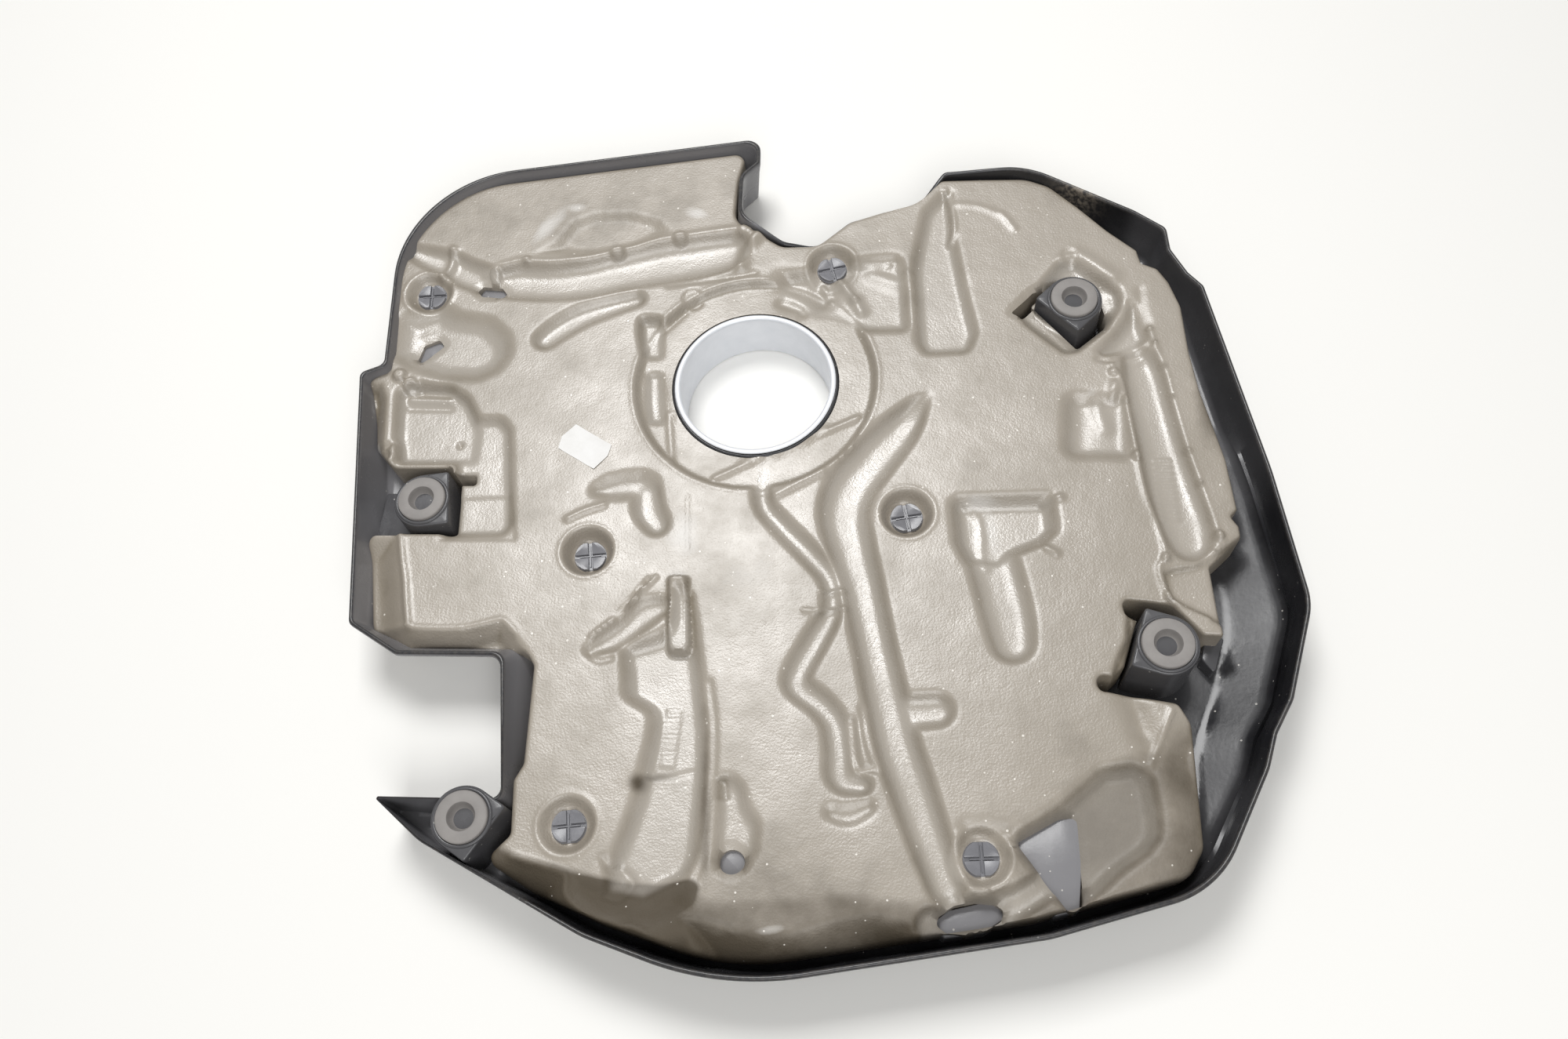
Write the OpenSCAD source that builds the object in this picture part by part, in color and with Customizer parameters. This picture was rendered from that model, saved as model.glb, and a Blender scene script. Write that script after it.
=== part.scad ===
// Engine cover lying underside up, as it is put down on a bench.
// X is its width, Y its length, Z is up. The origin is under the middle of its outline.
// A moulded tray carries four towers with rubber mounts, a collar round the filler
// opening and a foam liner whose channels clear the engine's pipes.

/* [Overall] */
// Width of the cover across the rim of its skirt
cover_w = 500; // [430:1:580]
// Length of the cover across the rim of its skirt
cover_l = 480; // [420:1:560]
// Height of the skirt's rim
rim_h = 40; // [36:0.5:55]

/* [Tray] */
// Thickness of the skirt
skirt_t = 2.5; // [2:0.1:4]
// Thickness of the floor
floor_t = 2.5; // [2:0.1:4]
// Radius of the floor's dome
dome_r = 2000; // [1600:50:4000]
// Radius of the flat in the middle of the floor, which the cover rests on
flat_r = 150; // [120:5:180]
// How far the rim is lowered along the top notch
notch_drop = 11; // [7:0.5:14]
// Height of the low pads beside the left and right towers
pad_h = 20; // [16:0.5:24]

/* [Filler opening] */
// Radius of the opening inside the collar
filler_r = 41.5; // [35:0.5:48]
// Place of the opening along X
filler_x = -27; // [-35:1:-20]
// Place of the opening along Y
filler_y = 74; // [68:1:80]
// Wall of the collar
collar_t = 2; // [1.5:0.1:3]
// How far the collar's top lies under the liner's top
collar_drop = 2; // [1:0.5:4]
// Width of the collar's foot flange
collar_foot = 3.5; // [2:0.5:6]
// Thickness of the collar's foot flange
collar_foot_t = 1.2; // [0.8:0.1:1.5]
// Wall of the tray's neck round the collar
neck_t = 2.5; // [2:0.1:4]

/* [Mount towers] */
// Half the width of a tower, which is also the radius of its round side
tower_r = 15.5; // [14.5:0.1:18]
// Distance from the mount's axis to the tower's flat side
tower_flat = 14; // [13.5:0.1:18]
// Wall of a tower
tower_t = 2.2; // [1.8:0.1:3]
// Thickness of the plate that holds a mount
plate_t = 3; // [2.5:0.1:4]
// Right tower along X
right_x = 180; // [175:1:184]
// Right tower along Y
right_y = -81; // [-86:1:-78]
// How far the right tower's plate stands above the rim
right_rise = 2; // [1:0.5:6]
// Direction of the right tower's flat side
right_turn = 163; // [155:1:180]
// Top tower along X
top_x = 149; // [145:1:154]
// Top tower along Y
top_y = 123; // [118:1:128]
// How far the top tower's plate lies under the rim
top_drop = 3; // [-4:0.5:4]
// Direction of the top tower's flat side
top_turn = 225; // [215:1:240]
// Left tower along X
left_x = -202; // [-204:1:-198]
// Left tower along Y
left_y = -1; // [-4:1:3]
// How far the left tower's plate lies under the rim
left_drop = 3; // [-4:0.5:4]
// Direction of the left tower's flat side
left_turn = 8; // [0:1:15]
// Corner tower along X
corner_x = -154; // [-157:1:-150]
// Corner tower along Y
corner_y = -170; // [-173:1:-167]
// How far the corner tower's plate stands above the rim
corner_rise = 0.5; // [0.5:0.5:4]
// Direction of the corner tower's flat side
corner_turn = -32; // [-45:1:-20]

/* [Rubber mounts] */
// Radius of a mount's flange
mount_r = 12.6; // [12:0.1:13.5]
// Thickness of the flange above the plate
flange_t = 2.5; // [2:0.1:4]
// Radius of the neck that passes through the plate
neck_r = 9; // [8:0.1:10]
// Radius of the bulb under the plate
bulb_r = 10.8; // [10.5:0.1:11.5]
// Height of the bulb
bulb_h = 9; // [8:0.1:10]
// Radius of the funnel's mouth
mouth_r = 6.6; // [6:0.1:7.5]
// Radius of the throat that the ball stud snaps through
throat_r = 3.6; // [3:0.1:4.2]
// Length of the throat
throat_l = 2; // [1.5:0.1:3]
// Radius of the ball socket
socket_r = 5; // [4.5:0.1:5.5]

/* [Foam liner] */
// How far the liner's flat top lies under the rim
foam_drop = 6; // [5:0.5:9]
// Depth of the round step about the filler opening
step_depth = 4; // [2:0.5:6]
// Radius of the round step
step_r = 66; // [62:0.5:68]
// Depth of the large pipe channels
pipe_depth = 12; // [8:0.5:13]
// Depth of the small hose channels
hose_depth = 6; // [4:0.5:8]
// Depth of the pockets
pocket_depth = 10; // [8:0.5:12]
// How far the liner falls away along its left and lower edges
edge_fall = 14; // [8:0.5:15]

/* [Foam clips] */
// Radius of a clip's head
clip_r = 8.2; // [7.5:0.1:9]
// Height of a clip's head
clip_h = 3; // [2.5:0.1:4]
// Width of the slots across the head
slot_w = 1.8; // [1.2:0.1:2.4]
// Radius of the clip's sleeve
sleeve_r = 4.4; // [4:0.1:5]
// Length of the clip's sleeve
sleeve_l = 10; // [8:0.5:12]
// Radius of the tray's pin inside the sleeve
pin_r = 2.6; // [2.2:0.1:3]
// Radius of the recess about a clip
recess_r = 12.5; // [11:0.5:14]
// Depth of the shallowest recess about a clip
recess_depth = 5.5; // [5:0.1:7]

/* [Label] */
// Width of the paper label
label_w = 24; // [18:0.5:30]
// Height of the paper label
label_l = 17; // [12:0.5:20]
// Thickness of the paper
label_t = 0.3; // [0.2:0.05:0.5]

/* [Clearances] */
// Gap between the liner and the tray
foam_gap = 0.4; // [0.3:0.1:1]
// Gap between the liner and a tower
tower_gap = 1.5; // [1:0.1:3]
// Gap round a clip's sleeve, a pin, the collar and a mount's neck
fit_gap = 0.15; // [0.1:0.05:0.3]

/* [Hidden] */

// Places are drawn on a cover of this width and length and follow the real ones
drawn_w = 500;
drawn_l = 480;
scale_x = cover_w / drawn_w;
scale_y = cover_l / drawn_l;
scale_r = min(scale_x, scale_y);
function at(p) = [p[0] * scale_x, p[1] * scale_y];
function corners_at(list) = [for (c = list) [c[0] * scale_x, c[1] * scale_y, c[2] * scale_r]];

// Rim of the skirt as corners [x, y, radius], anticlockwise from the tip of the top notch
rim_corners = corners_at([
    [-30.5, 241.5, 8], [-247, 212.5, 72], [-237.5, 83.5, 5], [-250.5, 78, 4],
    [-228.5, -72.5, 5], [-201, -89, 6], [-147, -89, 7], [-137, -160.5, 5],
    [-199.5, -160.5, 1], [-174, -181, 30], [-92, -222, 60], [-27, -243, 150],
    [118, -217.5, 60], [192.5, -195, 50], [221, -140, 30], [226.5, -123.5, 12],
    [236, -107, 12], [251.5, -58, 35], [241.5, 15, 200], [219.5, 129, 5],
    [212, 138, 5], [204, 154, 6], [203, 169, 5], [186, 182, 30],
    [128, 215.5, 50], [79, 215.5, 5], [63, 196, 20], [24, 186, 12],
    [5, 168.5, 12], [-14, 168.5, 10], [-39, 184, 14], [-39.5, 213, 10], [-30, 223, 2.5]]);

// Edge of the liner, where it doesn't simply follow the skirt
liner_corners = corners_at([
    [-39, 233, 6], [-244, 206, 66], [-238, 86, 5], [-247, 75, 4],
    [-238, 36, 4], [-223, 20, 6], [-190, 20, 2], [-185, -19, 2],
    [-232, -19, 5], [-222, -70, 8], [-200, -84, 8], [-136, -84, 9],
    [-131, -92, 4], [-130, -142, 5], [-134, -150, 5], [-132, -176, 4],
    [-143, -188, 5], [-122, -200, 12], [-86, -214, 40], [-27, -232, 120],
    [112, -208, 60], [183, -188, 12], [190, -175, 10], [189, -125, 8],
    [178, -103, 5], [152, -99, 3], [149, -91, 3], [157, -68, 4],
    [160, -52, 4], [187, -58, 6], [209, -73, 2], [206, -36, 4],
    [224, -22, 5], [222, 2, 8], [211, 67, 30], [202, 128, 20],
    [190, 155, 3], [186, 165, 3], [140, 205, 50], [100, 210, 30],
    [74, 210, 5], [60, 195, 18], [24, 182, 12], [5, 165, 12],
    [-15, 165, 10], [-44, 185, 12], [-43, 214, 9]]);

// Mount towers as [x, y, height, direction of the flat side]
right_tower = [right_x * scale_x, right_y * scale_y, rim_h + right_rise, right_turn];
top_tower = [top_x * scale_x, top_y * scale_y, rim_h - top_drop, top_turn];
left_tower = [left_x * scale_x, left_y * scale_y, rim_h - left_drop, left_turn];
corner_tower = [corner_x * scale_x, corner_y * scale_y, rim_h + corner_rise, corner_turn];
towers = [right_tower, top_tower, left_tower, corner_tower];

// Foam clips from the top left one, as [x, y, how far it sinks below the shallowest]
clip_places = [for (c = [[-221, 136, 1.5], [-110, -29, 4.5], [-105, -171, 0.5], [14, 151, 1.5],
    [56, -7, 3.3], [89, -182, 0]]) [each at(c), c[2]]];
filler = [filler_x * scale_x, filler_y * scale_y];

// Outer radius of the collar and inner radius of the tray's neck about it
collar_r = filler_r + collar_t;
neck_in = collar_r + fit_gap;
// The dome is a sphere that sinks a little below the bench, so its middle is flat
dome_sink = flat_r * flat_r / (2 * dome_r);
function dome_z(p, r) = dome_r - dome_sink - sqrt(r * r - p[0] * p[0] - p[1] * p[1]);
// Height of the tray's inner floor at a place
function floor_z(p) = max(floor_t, dome_z(p, dome_r - floor_t));

// Low pads that stiffen the tray beside two towers, as corners [x, y, radius]
pads = [corners_at([[194, -97, 1], [209, -95, 1], [213, -76, 1], [196, -74, 1]]),
    corners_at([[-232, -17, 1], [-205, -17, 1], [-205, 12, 1], [-230, 12, 1]])];

// Height of the liner's flat top, and of the seat of a clip's head in it
foam_h = rim_h - foam_drop;
function clip_seat(place) = foam_h - recess_depth - place[2];
collar_h = foam_h - collar_drop;

function unit(v) = v / norm(v);
function prev(list, i) = list[(i + len(list) - 1) % len(list)];
function next(list, i) = list[(i + 1) % len(list)];
function flat(c) = [c[0], c[1]];
// Signed turn of an outline at a corner
function turn(a, b, c) =
    let (u = b - a, v = c - b) atan2(u[0] * v[1] - u[1] * v[0], u * v);

// Corners moved inwards by a distance, with their radii changed to match
function inset(list, d) = [for (i = [0 : len(list) - 1])
    let (a = flat(prev(list, i)), b = flat(list[i]), c = flat(next(list, i)),
        u = unit(b - a), v = unit(c - b),
        m = [-u[1], u[0]], n = [-v[1], v[0]],
        p = b + (m + n) * d / (1 + m * n),
        r = list[i][2] + (turn(a, b, c) > 0 ? -d : d))
    [p[0], p[1], max(r, 0.4)]];

// Points of an outline with its corners rounded. A corner gets as many points as it turns.
function arc_points(a, b, c, r) =
    let (u = unit(a - b), v = unit(c - b), half = acos(u * v) / 2,
        centre = b + unit(u + v) * r / sin(half), start = b + u * r / tan(half) - centre,
        t = turn(a, b, c), steps = max(1, ceil(abs(t) / 20 - 0.01)), from = atan2(start[1], start[0]))
    [for (k = [0 : steps]) centre + r * [cos(from + t * k / steps), sin(from + t * k / steps)]];
function rounded(list) = [for (i = [0 : len(list) - 1])
    each arc_points(flat(prev(list, i)), flat(list[i]), flat(next(list, i)), list[i][2])];

// Solid between stacked outlines of equally many points, each at its own height
module stack(outlines, heights) {
    n = len(outlines[0]);
    m = len(outlines);
    points = [for (k = [0 : m - 1]) for (p = outlines[k]) [p[0], p[1], heights[k]]];
    sides = [for (k = [0 : m - 2]) for (i = [0 : n - 1])
        let (j = (i + 1) % n)
        each [[k * n + i, (k + 1) * n + i, (k + 1) * n + j], [k * n + i, (k + 1) * n + j, k * n + j]]];
    polyhedron(points, concat([[for (i = [0 : n - 1]) i]], sides,
        [[for (i = [n - 1 : -1 : 0]) (m - 1) * n + i]]), 4);
}

// Straight solid between two heights
module prism(corners, low, high) {
    translate([0, 0, low]) linear_extrude(high - low) polygon(rounded(corners));
}

// Solid whose outline is inset by the first value of each step at the height of the second
module loft(corners, steps) {
    stack([for (s = steps) rounded(inset(corners, s[0]))], [for (s = steps) s[1]]);
}

// Everything above the dome of a given radius
module over_dome(r, bottom) {
    intersection() {
        translate([0, 0, dome_r - dome_sink]) sphere(r, $fn = 360);
        translate([-cover_w, -cover_l, bottom]) cube([2 * cover_w, 2 * cover_l, 2 * rim_h]);
    }
}

// Outline of a tower about its mount's axis, with the flat side towards +X
module tower_outline(extra, height) {
    cylinder(r = tower_r + extra, h = height, $fn = 64);
    translate([0, -tower_r - extra, 0]) cube([tower_flat + extra, 2 * (tower_r + extra), height]);
}

module place_tower(tower) {
    translate([tower[0], tower[1], 0]) rotate(tower[3]) children();
}

// Tower standing on the tray's floor
module tower_body(tower) {
    base = floor_z(tower) - floor_t / 2;
    place_tower(tower) translate([0, 0, base]) tower_outline(0, tower[2] - base);
}

// Hollow under a tower's plate, open at the flat side, and the hole for the mount's neck
module tower_hollow(tower) {
    height = tower[2] - plate_t - floor_z(tower);
    place_tower(tower) {
        translate([0, 0, floor_z(tower)]) {
            tower_outline(-tower_t, height);
            translate([0, tower_t - tower_r, 0]) cube([tower_flat + 1, 2 * (tower_r - tower_t), height]);
        }
        translate([0, 0, floor_z(tower) + 1]) cylinder(r = neck_r + fit_gap, h = tower[2], $fn = 64);
    }
}

// What comes off the skirt along the top notch, with a slope at both ends
module notch_dip() {
    translate([0, 224 * scale_y, 0]) rotate([90, 0, 0]) linear_extrude(68 * scale_y)
        polygon([[-30 * scale_x, rim_h + 1], [-24 * scale_x, rim_h], [0, rim_h - notch_drop],
            [66 * scale_x, rim_h - notch_drop], [84 * scale_x, rim_h], [90 * scale_x, rim_h + 1]]);
}

module shell() color("#26262b") {
    difference() {
        union() {
            difference() {
                intersection() {
                    prism(rim_corners, 0, rim_h);
                    over_dome(dome_r, 0);
                }
                intersection() {
                    prism(inset(rim_corners, skirt_t), floor_t, rim_h + 1);
                    over_dome(dome_r - floor_t, floor_t);
                }
            }
            translate([filler[0], filler[1], floor_t / 2])
                cylinder(r = neck_in + neck_t, h = foam_h - step_depth - floor_t / 2, $fn = 128);
            for (t = towers) tower_body(t);
            for (p = pads) prism(p, floor_z(p[0]) - floor_t / 2, pad_h);
            for (p = clip_places) translate([p[0], p[1], floor_z(p) - floor_t / 2])
                cylinder(r = pin_r, h = clip_seat(p) - floor_z(p) + floor_t / 2 - fit_gap, $fn = 32);
        }
        for (t = towers) tower_hollow(t);
        notch_dip();
        translate([filler[0], filler[1], -1]) {
            cylinder(r = neck_in, h = rim_h + 2, $fn = 128);
            cylinder(r = collar_r + collar_foot + fit_gap, h = collar_foot_t + fit_gap + 1, $fn = 128);
        }
    }
}

// Collar round the filler opening, with a foot flange let into the tray's outer face
module filler_collar() color("#c4c8d0") translate([filler[0], filler[1], 0])
    rotate_extrude($fn = 128) polygon([
        [filler_r, 0], [collar_r + collar_foot, 0], [collar_r + collar_foot, collar_foot_t],
        [collar_r, collar_foot_t], [collar_r, collar_h - 0.6], [collar_r - 0.6, collar_h],
        [filler_r + 0.6, collar_h], [filler_r, collar_h - 0.6]]);

// Rubber mount with a groove for the plate, a funnel and a blind ball socket
module rubber_mount(tower) {
    plate_low = -plate_t - fit_gap;
    deep = plate_low - bulb_h;
    throat_top = -1;
    throat_low = throat_top - throat_l;
    ball_z = throat_low - sqrt(socket_r * socket_r - throat_r * throat_r);
    from = asin(throat_r / socket_r);
    color("#8f8d8b") translate([tower[0], tower[1], tower[2]]) rotate_extrude($fn = 96)
        polygon(concat(
            [[0, deep], [bulb_r - 3, deep], [bulb_r, plate_low - bulb_h * 0.45],
            [bulb_r, plate_low], [neck_r, plate_low], [neck_r, 0],
            [mount_r, 0], [mount_r, flange_t - 0.8], [mount_r - 0.8, flange_t],
            [mouth_r, flange_t], [throat_r, throat_top], [throat_r, throat_low]],
            [for (a = [from + 12 : 12 : 179]) [socket_r * sin(a), ball_z + socket_r * cos(a)]],
            [[0, ball_z - socket_r]]));
}

// Clip head with crossed slots, on a sleeve that grips the tray's pin
module foam_clip(place) {
    color("#3a3b3f") translate([place[0], place[1], clip_seat(place)]) difference() {
        union() {
            cylinder(r = clip_r, h = clip_h - 0.8, $fn = 64);
            translate([0, 0, clip_h - 0.8]) cylinder(r1 = clip_r, r2 = clip_r - 0.8, h = 0.8, $fn = 64);
            translate([0, 0, -sleeve_l]) cylinder(r = sleeve_r, h = sleeve_l + 0.5, $fn = 48);
        }
        translate([0, 0, -sleeve_l - 1]) cylinder(r = pin_r + fit_gap, h = sleeve_l + 1, $fn = 48);
        for (a = [0, 90]) rotate(a) translate([-clip_r - 1, -slot_w / 2, clip_h - 1.4])
            cube([2 * clip_r + 2, slot_w, 2]);
    }
}

// A path's points with the bends between them smoothed
function spline(path, steps) = concat([for (i = [0 : len(path) - 2])
    let (a = path[max(i - 1, 0)], b = path[i], c = path[i + 1], d = path[min(i + 2, len(path) - 1)])
    for (k = [0 : steps - 1]) let (t = k / steps)
    (2 * b + (c - a) * t + (2 * a - 5 * b + 4 * c - d) * t * t + (3 * b - a - 3 * c + d) * t * t * t) / 2],
    [path[len(path) - 1]]);

// Trough along a path [x, y, half width]: half round in section, with round ends
module trough(path, depth) {
    line = spline([for (p = path) [p[0] * scale_x, p[1] * scale_y, p[2]]], 2);
    n = len(line);
    heading = [for (i = [0 : n - 1]) unit(flat(line[min(i + 1, n - 1)]) - flat(line[max(i - 1, 0)]))];
    ends = [70, 30];
    rings = concat(
        [for (a = ends) [flat(line[0]) - heading[0] * line[0][2] * sin(a), heading[0], line[0][2] * cos(a), cos(a)]],
        [for (i = [0 : n - 1]) [flat(line[i]), heading[i], line[i][2], 1]],
        [for (k = [1 : -1 : 0]) let (a = ends[k])
            [flat(line[n - 1]) + heading[n - 1] * line[n - 1][2] * sin(a), heading[n - 1],
                line[n - 1][2] * cos(a), cos(a)]]);
    section = concat([[-1, 1]], [for (a = [180 : 45 : 360]) [cos(a), sin(a)]], [[1, 1]]);
    m = len(section);
    points = [for (r = rings) for (s = section)
        let (p = r[0] + [-r[1][1], r[1][0]] * s[0] * -r[2]) [p[0], p[1], foam_h + s[1] * depth * r[3]]];
    last = len(rings) - 1;
    sides = [for (k = [0 : last - 1]) for (i = [0 : m - 1]) let (j = (i + 1) % m)
        each [[k * m + i, k * m + j, (k + 1) * m + j], [k * m + i, (k + 1) * m + j, (k + 1) * m + i]]];
    polyhedron(points, concat([[for (i = [m - 1 : -1 : 0]) i]], sides,
        [[for (i = [0 : m - 1]) last * m + i]]), 4);
}

// Pocket with sloping sides and a round foot
module pocket(corners, depth, slope) {
    loft(corners_at(corners), [[slope + 2, foam_h - depth], [slope, foam_h - depth + 2], [0, foam_h], [0, foam_h + 2]]);
}

module large_channels() {
    trough([[58, 52, 9], [28, 9, 13], [27, -27, 11.5], [39, -77, 10], [50.5, -130, 10.5], [73, -195, 9]], pipe_depth);
    trough([[-228, 163, 8], [-184, 144.5, 10], [-129, 145, 12.5], [-52, 161, 13]], pipe_depth - 1);
    trough([[184, 92, 13], [202, -17, 12]], pipe_depth);
    trough([[-20, 20, 5], [-18, -3, 5.5], [16, -43, 5.5], [17, -64, 5.5], [2, -97, 6.5], [20, -118, 6.5], [24, -146, 6.5]], hose_depth);
    trough([[-145, 107, 8], [-111, 125, 6.5]], hose_depth + 1);
    trough([[102, -45, 12.5], [107.5, -76, 11.5]], pocket_depth - 1);
    trough([[54, -114, 9], [70, -112.5, 9]], hose_depth);
    trough([[-98, -81, 7], [-74, -62, 8]], hose_depth);
    trough([[-106, 8, 7], [-84, 11, 8]], hose_depth);
    trough([[-82, 3, 8], [-76, -12, 8]], hose_depth + 1);
    trough([[-28, -158, 8.5], [-25, -176, 10]], hose_depth);
}

module pockets() {
    pocket([[-229, 71, 5], [-228, 22, 4], [-178, 22, 5], [-182, 68, 8]], pocket_depth - 1, 2);
    pocket([[-190, 52, 6], [-190, -22, 3], [-151, -21, 5], [-160, 52, 7]], pocket_depth - 4, 2);
    pocket([[-97, 120, 4], [-94, 88, 3], [-80, 88, 3], [-84, 120, 4]], pocket_depth / 2, 2);
    pocket([[-95, 83, 4], [-86, 46, 3], [-72, 46, 3], [-79, 83, 4]], pocket_depth / 2, 2);
    pocket([[75, 200, 4], [59, 98, 6], [88, 90, 9], [96, 110, 8], [84, 182, 10]], pocket_depth, 2);
    pocket([[141, 64, 6], [137, 26, 6], [172, 25, 6], [175, 63, 6]], pocket_depth - 4, 2);
    pocket([[79, 0, 5], [84, -36, 5], [98, -38, 4], [133, -22, 6], [134, -2, 8], [124, 4, 6]], pocket_depth + 1, 3);
    pocket([[-90, -84, 6], [-86, -109, 3], [-71, -116, 5], [-75, -166, 20], [-86, -198, 6],
        [-44, -196, 10], [-38, -142, 30], [-49, -68, 5], [-66, -66, 5]], pocket_depth, 4);
    pocket([[98, -172, 6], [134, -205, 6], [169, -177, 6], [171, -160, 10], [166, -138, 8],
        [144, -139, 14]], pocket_depth + 2, 4);
    pocket([[-228, 118, 8], [-228, 82, 8], [-190, 76, 16], [-166, 98, 18], [-188, 122, 16]], pocket_depth, 6);
    trough([[64, -215, 9], [84, -209, 11], [104, -200, 9]], pipe_depth);
}

// What comes off where the liner falls away to the right of a crease
module bank(from, to, fall, width) {
    a = at(from);
    b = at(to);
    translate([a[0], a[1], foam_h]) rotate(atan2(b[1] - a[1], b[0] - a[0])) rotate([90, 0, 90])
        linear_extrude(norm(b - a)) polygon([[0, 0], [-width, -fall], [-2 * width, -fall], [-2 * width, 1], [0, 1]]);
}

module banks() {
    bank([-210.5, -16], [-196, -76], edge_fall, edge_fall * 1.3);
    bank([-222, -71], [-138, -71], edge_fall - 3, edge_fall);
    bank([-140, -181], [-56, -220], edge_fall, edge_fall * 1.3);
    bank([-47, -212], [70, -212], edge_fall - 2, edge_fall * 1.2);
}

module foam_liner() color("#8f857a") {
    difference() {
        intersection() {
            prism(liner_corners, 0, foam_h);
            prism(inset(rim_corners, skirt_t + foam_gap), 0, rim_h);
            over_dome(dome_r - floor_t - foam_gap, floor_t + foam_gap);
        }
        translate([filler[0], filler[1], 0]) {
            cylinder(r = neck_in + neck_t + foam_gap, h = rim_h, $fn = 128);
            translate([0, 0, foam_h - step_depth]) cylinder(r = step_r, h = rim_h, $fn = 128);
        }
        for (t = towers) place_tower(t) tower_outline(tower_gap, rim_h);
        for (p = clip_places) translate([p[0], p[1], 0]) {
            cylinder(r = sleeve_r + foam_gap, h = rim_h, $fn = 48);
            translate([0, 0, clip_seat(p)]) cylinder(r = recess_r, h = rim_h, $fn = 64);
        }
        large_channels();
        pockets();
        banks();
        // Through holes: a slot by the left tower, small openings at the upper left,
        // a triangle in the lower right pocket and a slanting oval below it
        translate([-192 * scale_x, 12 * scale_y, 0]) cube([14.5, 5.5, rim_h]);
        translate([-186 * scale_x, 140 * scale_y, 0]) linear_extrude(rim_h)
            polygon([[-8, 1.5], [-3.5, -4.5], [6.5, -3.5], [8, 1], [0, 4.5]]);
        translate([-217.5 * scale_x, 100 * scale_y, 0]) linear_extrude(rim_h)
            polygon([[-6, -5.5], [-4, -7], [6, 6], [3, 9], [-5, 4]]);
        linear_extrude(rim_h) polygon(rounded(corners_at(
            [[106, -175, 3], [128, -205, 3], [135, -199, 3], [133, -162, 3], [124, -162, 3]])));
        translate([84 * scale_x, -209 * scale_y, 0]) rotate(16) linear_extrude(rim_h)
            polygon([for (a = [0 : 15 : 345]) [16 * cos(a), 6 * sin(a)]]);
        translate([-26 * scale_x, -186 * scale_y, 0]) cylinder(r = 6, h = rim_h, $fn = 48);
    }
}

// Blank paper label with its corners cut
module paper_label() color("white")
    translate([-118 * scale_x, 34 * scale_y, foam_h]) rotate(-33) linear_extrude(label_t)
        polygon([[-label_w / 2, -label_l / 2], [label_w / 2 - 4, -label_l / 2], [label_w / 2, -label_l / 2 + 4],
            [label_w / 2, label_l / 2], [-label_w / 2 + 4, label_l / 2], [-label_w / 2, label_l / 2 - 4]]);

shell();
foam_liner();
filler_collar();
rubber_mount(right_tower);  // rubber_mount_right
rubber_mount(top_tower);  // rubber_mount_top
rubber_mount(left_tower);  // rubber_mount_left
rubber_mount(corner_tower);  // rubber_mount_corner
foam_clip(clip_places[0]);  // foam_clip_1
foam_clip(clip_places[1]);  // foam_clip_2
foam_clip(clip_places[2]);  // foam_clip_3
foam_clip(clip_places[3]);  // foam_clip_4
foam_clip(clip_places[4]);  // foam_clip_5
foam_clip(clip_places[5]);  // foam_clip_6
paper_label();
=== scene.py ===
import math

import bmesh
import bpy
import numpy as np
from mathutils import Matrix, Vector
from mathutils.geometry import delaunay_2d_cdt


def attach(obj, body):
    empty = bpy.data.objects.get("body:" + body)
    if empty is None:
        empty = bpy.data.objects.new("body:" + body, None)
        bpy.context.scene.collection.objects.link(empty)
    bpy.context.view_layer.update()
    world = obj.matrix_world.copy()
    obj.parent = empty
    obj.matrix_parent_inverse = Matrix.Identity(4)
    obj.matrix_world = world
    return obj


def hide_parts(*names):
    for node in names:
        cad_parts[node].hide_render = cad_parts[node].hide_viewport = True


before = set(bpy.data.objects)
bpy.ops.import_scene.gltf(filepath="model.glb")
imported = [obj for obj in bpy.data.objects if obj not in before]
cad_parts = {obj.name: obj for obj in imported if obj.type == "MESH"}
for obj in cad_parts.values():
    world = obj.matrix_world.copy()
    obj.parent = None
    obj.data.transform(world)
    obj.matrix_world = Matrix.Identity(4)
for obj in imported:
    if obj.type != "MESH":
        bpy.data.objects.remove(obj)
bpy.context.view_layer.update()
print("frame loaded")

# Lengths are millimetres here, as in the part's source, and become metres when a mesh is made
mm = 0.001

# the outline, the neck and the towers, read off the photo at the height of each face
cover = {
    "rimHeight": 40.0, "skirt": 2.5, "floor": 2.5, "domeRadius": 2000.0, "flatRadius": 150.0,
    "filler": (-27.0, 74.0), "neckInside": 43.65, "neckOutside": 46.15, "neckTop": 30.0,
    # corners of the rim as x, y, radius, anticlockwise from the tip of the top notch
    "rim": [
        (-30.5, 241.5, 8), (-247, 212.5, 72), (-237.5, 83.5, 5), (-250.5, 78, 4),
        (-228.5, -72.5, 5), (-201, -89, 6), (-147, -89, 7), (-137, -160.5, 5),
        (-199.5, -160.5, 1), (-174, -181, 30), (-92, -222, 60), (-27, -243, 150),
        (118, -217.5, 60), (192.5, -195, 50), (221, -140, 30), (226.5, -123.5, 12),
        (236, -107, 12), (251.5, -58, 35), (241.5, 15, 200), (219.5, 129, 5),
        (212, 138, 5), (204, 154, 6), (203, 169, 5), (186, 182, 30),
        (128, 215.5, 50), (79, 215.5, 5), (63, 196, 20), (24, 186, 12),
        (5, 168.5, 12), (-14, 168.5, 10), (-39, 184, 14), (-39.5, 213, 10), (-30, 223, 2.5)],
    # towers as x, y, height of the plate, direction of the flat side
    "towers": {"right": (180, -81, 42, 163), "top": (149, 123, 37, 225),
               "left": (-202, -1, 37, 8), "corner": (-154, -170, 40.5, -32)},
}

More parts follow.
